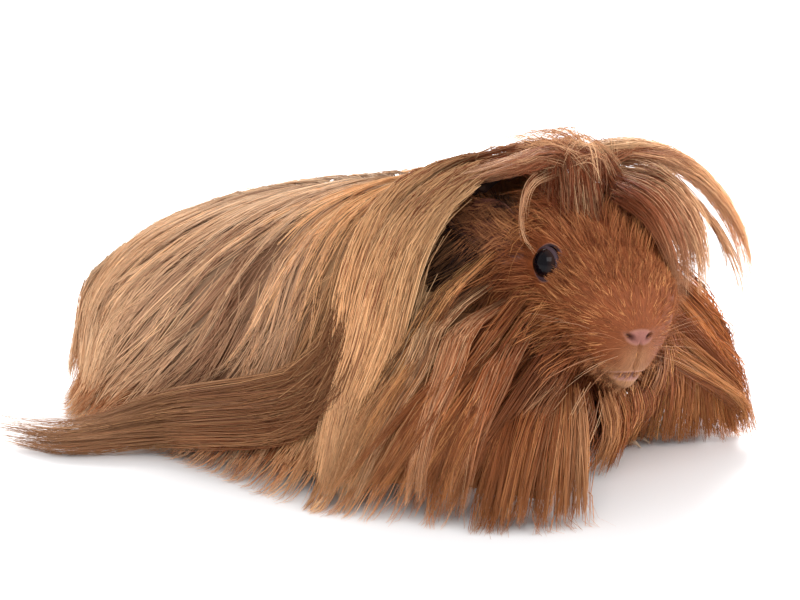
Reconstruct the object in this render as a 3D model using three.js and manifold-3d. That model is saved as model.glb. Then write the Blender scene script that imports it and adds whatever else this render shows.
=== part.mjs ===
// A long-haired guinea pig, life size, standing with its head raised and turned a little to its right.
// Millimetres, +Z up, +X towards the head, +Y to the animal's left. The floor is z = 0.
//
// The flesh is a trunk, a neck, a head and four legs. The coat hangs over them from a parting along the back,
// as one curtain that reaches the floor, and is parted by thin cuts into its named locks and panels.
import * as THREE from "three";
import { mergeVertices } from "three/addons/utils/BufferGeometryUtils.js";
import Module from "manifold-3d";

const wasm = await Module();
wasm.setup();

// ---------------------------------------------------------------- driving dimensions
const GAP = 0.35; // between pieces that touch
const RUMP_X = -228; // the coat's last hair over the rump
const CHEST_X = 8; // the coat's foremost hair at the chest
const COAT_DEPTH = 8; // thickness of the curtain on the back and flanks
const HEM_DEPTH = 13; // its thickness at the floor
const BELLY_Z = 20; // belly above the floor
const HEAD_AT = [-24.2, -3.4, 65.8]; // middle of the skull
const HEAD_YAW = -38; // degrees, negative to the animal's right
const HEAD_PITCH = 2; // degrees, nose down
const NOSE_X = 40; // nose tip ahead of the middle of the skull
const EYE_R = 5.2;
const EYE_AT = { x: 8, y: 19.6, z: 6.8 };
const EAR_WIDTH = 17;
const EAR_THICK = 1.3;
const TOE_R = 2.1;
const CLAW_LENGTH = 4.2;

// ---------------------------------------------------------------- materials
const paint = (color, roughness) => new THREE.MeshStandardMaterial({ color, roughness, metalness: 0 });
const FINISH = {
  gold: paint(0xc08a5a, 0.55),
  sand: paint(0xb08662, 0.6),
  ginger: paint(0x96582f, 0.65),
  face: paint(0x955632, 0.7),
  ear: paint(0x6b3c2c, 0.6),
  nose: paint(0xb9776a, 0.5),
  foot: paint(0xc49a8a, 0.6),
  claw: paint(0xd9c3a6, 0.4),
  eye: paint(0x0b0a10, 0.08),
};

// ---------------------------------------------------------------- curves and closed meshes
// A smooth function through a few [x, value] pairs, flat beyond its ends.
function profile(pairs) {
  const slope = (i) => {
    const a = pairs[Math.max(i - 1, 0)];
    const b = pairs[Math.min(i + 1, pairs.length - 1)];
    return (b[1] - a[1]) / (b[0] - a[0]);
  };
  return (x) => {
    if (x <= pairs[0][0]) return pairs[0][1];
    const i = pairs.findIndex((p) => p[0] >= x) - 1;
    if (i < 0) return pairs[pairs.length - 1][1];
    const [x0, y0] = pairs[i];
    const [x1, y1] = pairs[i + 1];
    const d = x1 - x0;
    const t = (x - x0) / d;
    const rise = (2 * t - 3) * t * t;
    return (1 + rise) * y0 - rise * y1 + d * (t * (1 - t) ** 2 * slope(i) - t * t * (1 - t) * slope(i + 1));
  };
}

// A closed mesh through rings of equal length, with a pole at the middle of each end ring.
function loft(rings) {
  const n = rings[0].length;
  const middle = (ring) => ring.reduce((sum, p) => sum.add(p), new THREE.Vector3()).divideScalar(n);
  const points = [...rings.flat(), middle(rings[0]), middle(rings[rings.length - 1])];
  const faces = [];
  for (let i = 0; i + 1 < rings.length; i++)
    for (let j = 0; j < n; j++) {
      const k = (j + 1) % n;
      faces.push(i * n + j, i * n + k, (i + 1) * n + k, i * n + j, (i + 1) * n + k, (i + 1) * n + j);
    }
  const last = (rings.length - 1) * n;
  for (let j = 0; j < n; j++) {
    const k = (j + 1) % n;
    faces.push(points.length - 2, k, j, points.length - 1, last + j, last + k);
  }
  const geometry = new THREE.BufferGeometry().setFromPoints(points);
  geometry.setIndex(faces);
  return geometry;
}

// A geometry as a solid with its faces pointing out, whichever way its rings ran.
function solid(geometry, matrix = new THREE.Matrix4()) {
  const bare = new THREE.BufferGeometry();
  bare.setAttribute("position", geometry.getAttribute("position").clone());
  bare.setIndex(geometry.index ? geometry.index.clone() : null);
  const merged = mergeVertices(bare.applyMatrix4(matrix), 1e-4);
  const triVerts = new Uint32Array(merged.index.array);
  const vertProperties = merged.attributes.position.array;
  const build = () => new wasm.Manifold(new wasm.Mesh({ numProp: 3, vertProperties, triVerts }));
  const made = build();
  if (made.volume() > 0) return made;
  for (let i = 0; i < triVerts.length; i += 3) triVerts.subarray(i + 1, i + 3).reverse();
  return build();
}

const largest = (shape) => shape.decompose().sort((a, b) => b.volume() - a.volume())[0];
const minus = (shape, ...tools) => tools.reduce((left, tool) => left.subtract(tool), shape);

function mesh(name, shape, finish, frame) {
  const { vertProperties, triVerts } = largest(shape).getMesh();
  const geometry = new THREE.BufferGeometry();
  geometry.setAttribute("position", new THREE.BufferAttribute(new Float32Array(vertProperties), 3));
  geometry.setIndex(new THREE.BufferAttribute(new Uint32Array(triVerts), 1));
  if (frame) geometry.applyMatrix4(frame.matrixWorld.clone().invert());
  geometry.computeVertexNormals();
  const made = new THREE.Mesh(geometry, FINISH[finish]);
  made.name = name;
  return made;
}

const at = (x, y, z) => new THREE.Matrix4().makeTranslation(x, y, z);

// An ellipsoid with half sizes r, grown all round by grow. Its mesh has faces across by up.
function ball({ at: [x, y, z], r, mesh: [across, up] = [12, 8] }, grow = 0) {
  const size = new THREE.Vector3(...r).addScalar(grow);
  return solid(new THREE.SphereGeometry(1, across, up), at(x, y, z).scale(size));
}

// Points round an oval with half sizes a and b along two directions.
function oval(centre, first, a, second, b, count) {
  return Array.from({ length: count }, (_, j) => {
    const turn = (2 * Math.PI * j) / count;
    const point = centre.clone().addScaledVector(first, a * Math.cos(turn));
    return point.addScaledVector(second, b * Math.sin(turn));
  });
}

// A tapered lock, limb or toe along a smooth path. width and thick are half sizes at a share t of the length;
// the width lies across the path in the direction given by side.
function sweep(path, width, thick, { steps = 12, sides = 8, side = [0, 0, 1] } = {}) {
  const curve = new THREE.CatmullRomCurve3(path.map((p) => new THREE.Vector3(...p)));
  const rings = [];
  for (let i = 0; i <= steps; i++) {
    const t = i / steps;
    const along = curve.getTangentAt(t);
    const across = new THREE.Vector3(...side).projectOnPlane(along).normalize();
    const out = new THREE.Vector3().crossVectors(along, across);
    rings.push(oval(curve.getPointAt(t), across, width(t), out, thick(t), sides));
  }
  return solid(loft(rings));
}

// ---------------------------------------------------------------- the coat's outer shape
// By distance along the body: height over the parting, half width at the flanks, spread of the hem on each side.
const RUMP_PLAN = [[-228, 8], [-222, 20], [-213, 32], [-202, 41], [-188, 48], [-150, 52]];
const RUMP_HEM = [[-228, 10], [-222, 24], [-213, 38], [-200, 52], [-170, 63], [-141, 69]];
const RUMP_TOP = [[-228, 23], [-222, 38], [-213, 49.5], [-200, 60.5], [-183, 70], [-150, 80.5], [-110, 88.5]];
const COAT = {
  top: profile([...RUMP_TOP, [-70, 98], [-50, 103], [-32, 93], [-12, 72], [2, 50], [8, 26]]),
  flankRight: profile([...RUMP_PLAN, [-95, 54], [-50, 50], [-20, 44], [8, 32]]),
  flankLeft: profile([...RUMP_PLAN, [-95, 56], [-50, 59], [-22, 60], [-8, 56], [8, 43]]),
  hemRight: profile([...RUMP_HEM, [-74, 87], [-35, 79], [-10, 71], [0, 58], [8, 42]]),
  hemLeft: profile([...RUMP_HEM, [-74, 80], [-35, 76], [-10, 66], [8, 50]]),
};
const FLANK_SHARE = 0.48; // the flanks are widest at this share of the height
const FLANK_ROUND = 0.85;
const BACK_ROUND = 0.92;
const HEM_STEPS = 4;
const ARCH_STEPS = 5;

// One cross-section of the coat at x, taken in from the outside by inset, with its hem set in by hemInset.
function coatRing(x, inset = 0, hemInset = 0, floor = 0) {
  const top = Math.max(COAT.top(x) - inset, 4);
  const waist = top * FLANK_SHARE;
  const halfRing = (flankAt, hemAt) => {
    const flank = Math.max(flankAt(x) - inset, 4);
    const hem = Math.max(hemAt(x) - hemInset, 3);
    const points = [];
    for (let i = 0; i < HEM_STEPS; i++) {
      const t = i / HEM_STEPS;
      points.push([flank + (hem - flank) * (1 - t) ** 2, floor + (waist - floor) * t]);
    }
    for (let i = 0; i <= ARCH_STEPS; i++) {
      const a = (Math.PI / 2) * (i / ARCH_STEPS);
      points.push([flank * Math.cos(a) ** FLANK_ROUND, waist + (top - waist) * Math.sin(a) ** BACK_ROUND]);
    }
    return points;
  };
  const right = halfRing(COAT.flankRight, COAT.hemRight).map(([y, z]) => new THREE.Vector3(x, -y, z));
  const left = halfRing(COAT.flankLeft, COAT.hemLeft).map(([y, z]) => new THREE.Vector3(x, y, z));
  return [...right, ...left.slice(0, -1).reverse()];
}

function coatLoft(from, to, steps, inset = 0, hemInset = 0, floor = 0) {
  const xs = Array.from({ length: steps + 1 }, (_, i) => from + ((to - from) * i) / steps);
  return solid(loft(xs.map((x) => coatRing(x, inset, hemInset, floor))));
}

// ---------------------------------------------------------------- trunk and neck
const TRUNK_FROM = -212;
const TRUNK_TO = -54;
const TRUNK = {
  top: profile([[-212, 32], [-198, 45], [-178, 58], [-150, 68], [-112, 77], [-88, 76], [-66, 62], [-54, 54]]),
  wide: profile([[-212, 22], [-190, 36], [-150, 43], [-95, 44], [-70, 38], [-54, 32]]),
};
function trunkSolid(grow = 0) {
  const steps = 11;
  const sides = 16;
  const rings = [];
  for (let i = 0; i <= steps; i++) {
    const a = Math.PI * (i / steps);
    const x = (TRUNK_FROM + TRUNK_TO) / 2 - ((TRUNK_TO - TRUNK_FROM) / 2 + grow) * Math.cos(a);
    const round = Math.min(1, Math.sin(a) * 1.25) ** 0.6;
    const top = TRUNK.top(x);
    const wide = TRUNK.wide(x) * round + grow;
    const tall = ((top - BELLY_Z) / 2) * round + grow;
    const centre = new THREE.Vector3(x, 0, (top + BELLY_Z) / 2);
    rings.push(oval(centre, new THREE.Vector3(0, 1, 0), wide, new THREE.Vector3(0, 0, 1), tall, sides));
  }
  return solid(loft(rings));
}

// ---------------------------------------------------------------- head
// Half width, top and bottom of the head along its own x, from the back of the skull to the nose.
const SKULL_BACK = -36;
const SKULL_WIDE = [[-36, 20], [-22, 26.5], [-8, 27.5], [6, 24.8]];
const MUZZLE_WIDE = [[16, 23], [25, 19.5], [32, 15.2], [37, 11.5], [40, 8.5]];
const HEAD = {
  wide: profile([...SKULL_WIDE, ...MUZZLE_WIDE]),
  top: profile([[-36, 20], [-20, 27], [-4, 26], [8, 21.5], [18, 15.5], [28, 8], [35, 2], [40, -3]]),
  bottom: profile([[-36, -21], [-18, -29], [0, -33], [14, -33.5], [26, -32.5], [34, -29.5], [40, -20]]),
  level: profile([[-36, 0], [-10, -3], [8, -1], [20, 0], [30, -5], [40, -10]]), // height of the greatest width
  jaw: profile([[-36, 1], [-5, 1], [12, 1.4], [24, 2], [40, 1.5]]), // how fast it narrows below that
};
const BROW_FALL = 0.75; // how square the head is above its greatest width
const head = new THREE.Group();
head.position.set(...HEAD_AT);
head.rotation.set(0, THREE.MathUtils.degToRad(HEAD_PITCH), THREE.MathUtils.degToRad(HEAD_YAW), "ZYX");
head.updateMatrixWorld(true);

function headSolid(grow = 0, steps = 14, sides = 16) {
  const rings = [];
  for (let i = 0; i <= steps; i++) {
    const a = Math.PI * (i / steps);
    const x = (SKULL_BACK + NOSE_X) / 2 - ((NOSE_X - SKULL_BACK) / 2 + grow) * Math.cos(a);
    const round = Math.min(1, Math.sin(a) * 1.5 + 0.02) ** 0.62;
    const level = (HEAD.level(x) + 8) * round - 8;
    const above = (HEAD.top(x) - HEAD.level(x)) * round + grow;
    const below = (HEAD.level(x) - HEAD.bottom(x)) * round + grow;
    const wide = HEAD.wide(x) * round + grow;
    rings.push(
      Array.from({ length: sides }, (_, j) => {
        const b = (2 * Math.PI * j) / sides;
        const fall = Math.sin(b) < 0 ? HEAD.jaw(x) : BROW_FALL;
        const y = wide * Math.sign(Math.cos(b)) * Math.abs(Math.cos(b)) ** fall;
        return new THREE.Vector3(x, y, level + (Math.sin(b) < 0 ? below : above) * Math.sin(b));
      }),
    );
  }
  return solid(loft(rings), head.matrixWorld);
}

const onHead = (shape) => shape.transform(head.matrixWorld.toArray());

// A petal-shaped ear from its root to its tip, with the hollow of its cup facing forward and out.
const EARS = {
  right: { root: [-12, -24, 8], tip: [-27, -33, 17], face: [0.6, -0.75, 0.1] },
  left: { root: [-12, 24, 8], tip: [-30, 31, 4], face: [0.6, 0.75, 0.3] },
};
function earSolid({ root, tip, face }) {
  const across = 6;
  const along = 7;
  const start = new THREE.Vector3(...root);
  const reach = new THREE.Vector3(...tip).sub(start);
  const side = new THREE.Vector3(...face).cross(reach).normalize();
  const out = reach.clone().cross(side).normalize();
  const place = (u, v, offset) => {
    const half = (EAR_WIDTH / 2) * Math.sin(Math.PI * (0.16 + 0.8 * u)) ** 0.6;
    const cup = 4 * (v * v - 1) * Math.sin(Math.PI * Math.min(1, u + 0.15));
    const point = start.clone().addScaledVector(reach, u).addScaledVector(side, v * half);
    return point.addScaledVector(out, cup + offset);
  };
  const rings = [];
  for (let i = 0; i <= along; i++) {
    const ring = [];
    for (let j = 0; j <= across; j++) ring.push(place(i / along, (2 * j) / across - 1, EAR_THICK / 2));
    for (let j = across; j >= 0; j--) ring.push(place(i / along, (2 * j) / across - 1, -EAR_THICK / 2));
    rings.push(ring);
  }
  return onHead(solid(loft(rings)));
}

// ---------------------------------------------------------------- legs, feet and claws
const floorBox = solid(new THREE.BoxGeometry(900, 900, 300), at(0, 0, 150));
const FORE = { turn: -6, count: 4, spread: 4.2, calf: 9, rise: 5 };
const HIND = { turn: -5, count: 3, spread: 5.4, calf: 13, rise: 5.5 };
const FEET = {
  fore_right: { ...FORE, hip: [-76, -23, 27], ankle: [-47, -26, 12], heel: [-49, -26], toes: [-34, -27] },
  fore_left: { ...FORE, hip: [-76, 23, 27], ankle: [-44, 28, 12], heel: [-47, 28], toes: [-32, 30], turn: 8 },
  hind_right: { ...HIND, hip: [-168, -26, 38], ankle: [-168, -30, 12], heel: [-172, -30], toes: [-134, -34] },
  hind_left: { ...HIND, hip: [-168, 26, 38], ankle: [-168, 30, 12], heel: [-172, 30], toes: [-134, 34], turn: 5 },
};
const TOE_RISE = 3.3; // height of the toes' roots
const KNEE_BACK = 3;
const TOE_REACH = 9;

function toePlace(foot, i) {
  const fan = i - (foot.count - 1) / 2;
  const a = THREE.MathUtils.degToRad(foot.turn + fan * 9);
  const root = new THREE.Vector3(...foot.toes, TOE_RISE).add(new THREE.Vector3(0, fan * foot.spread, 0));
  return { root, dir: new THREE.Vector3(Math.cos(a), Math.sin(a), 0) };
}

function legSolid(foot) {
  const { hip, ankle, calf } = foot;
  const heel = [...foot.heel, foot.rise];
  const toes = [...foot.toes, TOE_RISE];
  const taper = (t) => calf * (1 - 0.5 * t);
  const knee = hip.map((h, i) => (h + ankle[i]) / 2 - (i === 0 ? KNEE_BACK : 0));
  const limb = sweep([hip, knee, ankle, heel], taper, taper, { steps: 4, sides: 7, side: [1, 0, 0] });
  const soleWide = (t) => 5.2 + 2.4 * t;
  const soleThick = (t) => 5.4 - 1.6 * t;
  let shape = limb.add(sweep([heel, toes], soleWide, soleThick, { steps: 2, sides: 7, side: [0, 1, 0] }));
  const toeHalf = (t) => TOE_R * (1.1 - 0.3 * t * t);
  for (let i = 0; i < foot.count; i++) {
    const { root, dir } = toePlace(foot, i);
    const tip = root.clone().addScaledVector(dir, TOE_REACH).setZ(TOE_R - 0.2);
    shape = shape.add(sweep([root.toArray(), tip.toArray()], toeHalf, toeHalf, { steps: 2, sides: 5 }));
  }
  return shape;
}

function clawSolid(foot, i) {
  const { root, dir } = toePlace(foot, i);
  const from = root.clone().addScaledVector(dir, TOE_REACH + GAP).setZ(TOE_R + 0.2);
  const mid = from.clone().addScaledVector(dir, CLAW_LENGTH * 0.6).setZ(TOE_R);
  const tip = from.clone().addScaledVector(dir, CLAW_LENGTH).setZ(0.9);
  const half = (t) => 1.05 * (1 - 0.7 * t);
  return sweep([from, mid, tip].map((p) => p.toArray()), half, half, { steps: 2, sides: 4 });
}

// ---------------------------------------------------------------- long locks with a course of their own
const fullness = (t) => (0.55 + 0.45 * Math.sin(Math.PI * Math.min(1, t * 1.6))) * (1 - t) ** 0.6;
function lockSolid({ path, wide, thick, side, steps, sides }, grow = 0) {
  const half = ([most, end]) => (t) => most * fullness(t) + end + grow;
  return sweep(path, half(wide), half(thick), { steps, sides, side });
}
// wide and thick are each a lock's greatest half size and what it tapers to.
const LOCKS = {
  // rises from the crown, arches forward over the left cheek and hangs down in front of it
  forelock: {
    path: [[-38, 6, 98], [-28, 16, 102.5], [-17, 29, 100.5], [-8, 41, 92], [-1, 51, 78], [3, 56, 64], [4, 58, 48]],
    wide: [9, 1.1],
    thick: [4.5, 0.7],
    side: [0.5, -0.5, 0.7],
    steps: 14,
    sides: 7,
  },
  // a shorter lock nearer the left eye
  forelock_inner: {
    path: [[-34, 16, 92], [-24, 25, 91], [-15, 33, 83], [-9, 39, 70], [-6, 42, 56]],
    wide: [5, 0.9],
    thick: [3, 0.6],
    side: [0.6, -0.5, 0.6],
    steps: 8,
    sides: 6,
  },
  // a thin lock that hangs before the right ear
  ear_lock: {
    path: [[-38, -7, 99], [-39, -20, 97], [-38, -28, 90], [-36, -30.5, 82], [-31, -31, 76]],
    wide: [2.6, 0.6],
    thick: [1.8, 0.5],
    side: [1, 0, 0],
    steps: 8,
    sides: 6,
  },
  // leaves the mane at the right flank and lies swept back along the floor beyond the rump
  train: {
    path: [[-60, -44, 34], [-82, -63, 28], [-112, -76, 19], [-155, -78, 11], [-186, -83, 5], [-213, -84, 2.5]],
    wide: [17, 1.5],
    thick: [8, 1.2],
    side: [0, -0.3, 1],
    steps: 12,
    sides: 8,
  },
};

// ---------------------------------------------------------------- face and hollows
// Each is an ellipsoid: those of the face are in the head's frame, the others in the body's.
const CROWN = { at: [-37, 4, 90.5], r: [23.5, 23.5, 14.5], mesh: [12, 7] }; // the topknot's bushy base
const HOLLOWS = [
  { at: [24, -4, 0], r: [60, 50, 40], mesh: [14, 8] }, // under the chin, between the two cheek curtains
  { at: [-55, 0, 0], r: [48, 54, 41], mesh: [12, 7] }, // under the chest, round the forelegs
  { at: [3, -10, 78], r: [54, 78, 40], mesh: [14, 10] }, // before the face
  { at: [-22, -50, 84], r: [38, 42, 27], mesh: [12, 8] }, // before the right ear
];
const FOOT_ROOM = [20, 17, 10];
const EAR_ROOM = [12, 10, 12];
const EAR_POCKET = 6; // how much wider the pocket in the coat is than the room kept in the neck
const MOUTH = { at: [NOSE_X - 6, 0, -25.5], r: [7, 6.5, 0.8], mesh: [10, 4] };
const PHILTRUM = { at: [NOSE_X - 1.5, 0, -18], r: [1.6, 0.7, 6], mesh: [6, 4] };
const NOSE_PAD = { at: [NOSE_X - 3.2, 0, -8.8], r: [4, 6.4, 3.5], mesh: [10, 6] };
const NOSTRIL = { x: NOSE_X - 0.6, y: 3.4, z: -8.5, r: [1.6, 1.3, 0.9] };

const SIDES = { right: -1, left: 1 };
const sideNames = Object.keys(SIDES);
const eyeBall = (side, grow = 0) =>
  onHead(ball({ at: [EYE_AT.x, SIDES[side] * EYE_AT.y, EYE_AT.z], r: [EYE_R, EYE_R, EYE_R] }, grow));
const nostril = (side) =>
  onHead(ball({ at: [NOSTRIL.x, SIDES[side] * NOSTRIL.y, NOSTRIL.z], r: NOSTRIL.r, mesh: [6, 4] }));
const nosePad = (grow = 0) => onHead(ball(NOSE_PAD, grow));
function earRoom(side, grow = 0) {
  const { root, tip } = EARS[side];
  const middle = root.map((start, i) => (start + tip[i]) / 2);
  return onHead(ball({ at: middle, r: EAR_ROOM, mesh: [10, 6] }, grow));
}
const footRoom = ({ toes: [x, y] }) => ball({ at: [x, y, 2], r: FOOT_ROOM, mesh: [8, 6] });

// ---------------------------------------------------------------- flesh
const headClear = headSolid(GAP);
const trunkClear = trunkSolid(GAP);
const crownClear = ball(CROWN, GAP);
const neckWhole = sweep(
  [[-86, 0, 56], [-64, 1, 60], [-42, 3, 63]],
  (t) => 31 - 3 * t,
  (t) => 29 - 2 * t,
  { steps: 3, sides: 12 },
);
const neck = minus(neckWhole, trunkClear, headClear, crownClear, ...sideNames.map((side) => earRoom(side)));
const sockets = sideNames.map((side) => eyeBall(side, GAP));

const model = new THREE.Group();
model.add(mesh("trunk", minus(trunkSolid(), headClear), "ginger"));
model.add(mesh("neck", neck, "ginger"));
const skull = minus(headSolid(), ...sockets, nosePad(GAP), onHead(ball(MOUTH)), onHead(ball(PHILTRUM)));
head.add(mesh("head", skull, "face", head));
head.add(mesh("nose", minus(nosePad(), nostril("right"), nostril("left")), "nose", head));
for (const side of sideNames) {
  head.add(mesh("eye_" + side, eyeBall(side), "eye", head));
  head.add(mesh("ear_" + side, minus(earSolid(EARS[side]), headClear), "ear", head));
}
model.add(head);

for (const [name, foot] of Object.entries(FEET)) {
  const leg = minus(legSolid(foot), trunkClear, neckWhole).intersect(floorBox);
  model.add(mesh("leg_" + name, leg, "foot"));
  for (let i = 0; i < foot.count; i++) model.add(mesh(`claw_${name}_${i + 1}`, clawSolid(foot, i), "claw"));
}

// ---------------------------------------------------------------- coat
const locksClear = Object.values(LOCKS).map((lock) => lockSolid(lock, GAP));
for (const [name, lock] of Object.entries(LOCKS)) {
  const before = name === "forelock_inner" ? [lockSolid(LOCKS.forelock, GAP)] : [];
  const shape = minus(lockSolid(lock), headClear, ...before).intersect(floorBox);
  model.add(mesh("coat_" + name, shape, name === "train" ? "ginger" : "gold"));
}
const earPockets = sideNames.map((side) => earRoom(side, EAR_POCKET));
model.add(mesh("coat_crown", minus(ball(CROWN), headClear, ...locksClear, ...earPockets), "ginger"));

const CAVITY = { from: -219, to: -66, rings: 8, below: -6 };
const cavity = coatLoft(CAVITY.from, CAVITY.to, CAVITY.rings, COAT_DEPTH, HEM_DEPTH, CAVITY.below);
const flesh = [trunkClear, neckWhole, headClear];
const hollows = [...HOLLOWS.map((hollow) => ball(hollow)), ...Object.values(FEET).map(footRoom), ...earPockets];
const coat = minus(coatLoft(RUMP_X, CHEST_X, 18), cavity, ...flesh, crownClear, ...locksClear, ...hollows);

// Half of space, before or behind a plane that crosses the body at xTop high up and at xFloor on the floor.
const CUT_TOP = 100;
const WORLD = 800;
function halfSpace([xTop, xFloor], ahead) {
  const lean = Math.atan2(xTop - xFloor, CUT_TOP);
  const shift = (ahead ? 1 : -1) * (WORLD / 2 + GAP / 2);
  const place = at(xFloor, 0, 0).multiply(new THREE.Matrix4().makeRotationY(lean)).multiply(at(shift, 0, 0));
  return solid(new THREE.BoxGeometry(WORLD, WORLD, WORLD), place);
}
const sideHalf = (sign) =>
  solid(new THREE.BoxGeometry(WORLD, WORLD, WORLD), at(0, sign * (WORLD / 2 + GAP / 2), 0));

// The parting along the back splits each ring of the coat in two, and these cuts split it from rump to cheek.
const CUTS = { rump: [-186, -192], flank: [-100, -84], cheek: [-52, -50] };
const PANELS = [
  { name: "coat_rump", finish: "sand", bounds: [halfSpace(CUTS.rump, false)] },
  { name: "coat_flank", finish: "sand", bounds: [halfSpace(CUTS.rump, true), halfSpace(CUTS.flank, false)] },
  { name: "coat_mane", finish: "gold", bounds: [halfSpace(CUTS.flank, true), halfSpace(CUTS.cheek, false)] },
  { name: "coat_cheek", finish: "ginger", bounds: [halfSpace(CUTS.cheek, true)] },
];
for (const { name, finish, bounds } of PANELS)
  for (const side of sideNames) {
    const half = coat.intersect(sideHalf(SIDES[side]));
    const panel = bounds.reduce((shape, bound) => shape.intersect(bound), half);
    model.add(mesh(`${name}_${side}`, panel, finish));
  }

// The part's origin is on the floor, under the middle of its own box.
const box = new THREE.Box3().setFromObject(model, true);
model.position.set(-(box.min.x + box.max.x) / 2, -(box.min.y + box.max.y) / 2, -box.min.z);

export default model;
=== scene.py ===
# %% [markdown]
# # A long-haired guinea pig, from the skin out
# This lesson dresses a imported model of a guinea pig. The real animal is a smooth, pear-shaped body that
# hardly shows: what one sees is its coat, silky hair that grows from every part of the skin, falls from a
# parting along the back and reaches the floor. So the work goes from the inside out: one skin, then the
# eyes and claws, then tens of thousands of strands that follow the lie of the coat.
# %% Start with the fixed frame
import math

import bmesh
import bpy
import numpy as np
from mathutils import Matrix, Vector


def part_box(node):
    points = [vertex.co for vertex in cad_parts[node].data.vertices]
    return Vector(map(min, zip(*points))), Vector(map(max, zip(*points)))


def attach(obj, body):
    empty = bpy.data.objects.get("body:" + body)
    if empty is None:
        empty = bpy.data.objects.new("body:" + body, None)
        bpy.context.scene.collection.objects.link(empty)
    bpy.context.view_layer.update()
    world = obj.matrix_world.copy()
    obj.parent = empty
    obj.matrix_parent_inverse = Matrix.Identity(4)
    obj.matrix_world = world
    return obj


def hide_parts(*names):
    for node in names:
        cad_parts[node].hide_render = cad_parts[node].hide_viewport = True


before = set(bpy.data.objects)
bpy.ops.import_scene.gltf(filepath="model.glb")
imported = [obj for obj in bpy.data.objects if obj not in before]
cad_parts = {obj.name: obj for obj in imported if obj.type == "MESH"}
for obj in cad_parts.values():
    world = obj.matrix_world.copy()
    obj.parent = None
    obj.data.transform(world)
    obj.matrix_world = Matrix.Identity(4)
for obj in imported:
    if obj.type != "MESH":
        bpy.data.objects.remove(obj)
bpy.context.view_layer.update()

random = np.random.default_rng(7)
print(len(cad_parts), "nodes loaded")

# %% [markdown]
# Shapes are worked out in millimetres in the animal's own frame: x towards the head, y to its left, z up,
# with y = 0 under the parting and x = 0 near the chest. The trunk node, whose rear end is at x = -212, tells
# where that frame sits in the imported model, so every piece lands where its solid is.
# %% The animal's own frame
TRUNK_REAR, TRUNK_FRONT = -212, -54
low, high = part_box("trunk")
ORIGIN = np.array([low.x * 1000 - TRUNK_REAR, (low.y + high.y) * 500, 0.0])


def metres(points):
    return (np.asarray(points, float) + ORIGIN) / 1000


def put_in_scene(name, data):
    """A new object at the origin that holds the data."""
    made = bpy.data.objects.new(name, data)
    bpy.context.scene.collection.objects.link(made)
    return made


print("own frame sits at", ORIGIN.round(2))


# %% [markdown]
# Many sizes of an animal change smoothly along its length. A profile is a curve through a few pairs of
# distance and size, and it stays flat beyond its ends.
# %% Smooth profiles
def profile(*pairs):
    xs, ys = np.array(pairs, float).T
    before = np.maximum(np.arange(len(xs)) - 1, 0)
    after = np.minimum(np.arange(len(xs)) + 1, len(xs) - 1)
    slope = (ys[after] - ys[before]) / (xs[after] - xs[before])

    def value(x):
        x = np.clip(x, xs[0], xs[-1])
        i = np.clip(np.searchsorted(xs, x, side="right") - 1, 0, len(xs) - 2)
        d = xs[i + 1] - xs[i]
        t = (x - xs[i]) / d
        rise = t * t * (3 - 2 * t)
        bend = d * (t * (1 - t) ** 2 * slope[i] - t * t * (1 - t) * slope[i + 1])
        return (1 - rise) * ys[i] + rise * ys[i + 1] + bend

    return value


def smooth(low, high, x):
    t = np.clip((x - low) / (high - low), 0, 1)
    return t * t * (3 - 2 * t)


def unit(v):
    return v / np.maximum(np.linalg.norm(v, axis=-1, keepdims=True), 1e-9)


# %% [markdown]
# The head is turned to the animal's right. Its own frame has x towards the nose, y to its left and z up.
# Four values say where its middle is and how it is turned. The profiles give its half width, its top, its
# bottom and the height of its widest level, from the back of the skull to the nose.
# %% The head's frame and shape
HEAD_AT = np.array([-24.2, -3.4, 65.8])
HEAD_YAW = math.radians(-38)
HEAD_PITCH = math.radians(2)
HEAD_ROLL = math.radians(-3)
TURNS = (HEAD_YAW, "Z"), (HEAD_PITCH, "Y"), (HEAD_ROLL, "X")
YAW, PITCH, ROLL = (Matrix.Rotation(angle, 3, axis) for angle, axis in TURNS)
TURN = np.array(YAW @ PITCH @ ROLL)
NOSE_X = 40
SKULL_BACK = -36
head_wide = profile(
    (-36, 20), (-22, 26.5), (-8, 27.5), (6, 24.8), (16, 23), (25, 19.5), (32, 15.2), (37, 11.5), (40, 8.5))
head_top = profile((-36, 20), (-20, 27), (-4, 26), (8, 21.5), (18, 15.5), (28, 8), (35, 2), (40, -3))
head_bottom = profile((-36, -21), (-18, -29), (0, -33), (14, -33.5), (26, -32.5), (34, -29.5), (40, -20))
head_level = profile((-36, 0), (-10, -3), (8, -1), (20, 0), (30, -5), (40, -10))
head_jaw = profile((-36, 1), (-5, 1), (12, 1.4), (24, 2), (40, 1.5))
BROW_FALL = 0.75
FUR = 2.3  # depth of the short fur that the head's solid includes
HEAD_MIDDLE, HEAD_HALF = (SKULL_BACK + NOSE_X) / 2, (NOSE_X - SKULL_BACK) / 2


def to_head(points):
    return (np.asarray(points) - HEAD_AT) @ TURN


def from_head(points):
    return np.asarray(points) @ TURN.T + HEAD_AT


def head_ends(x, a):
    """How the head closes at both its ends: the share of its full size, and the level of its middle."""
    round_off = np.minimum(1, np.sin(a) * 1.5 + 0.02) ** 0.62
    return round_off, (head_level(x) + 8) * round_off - 8


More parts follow.
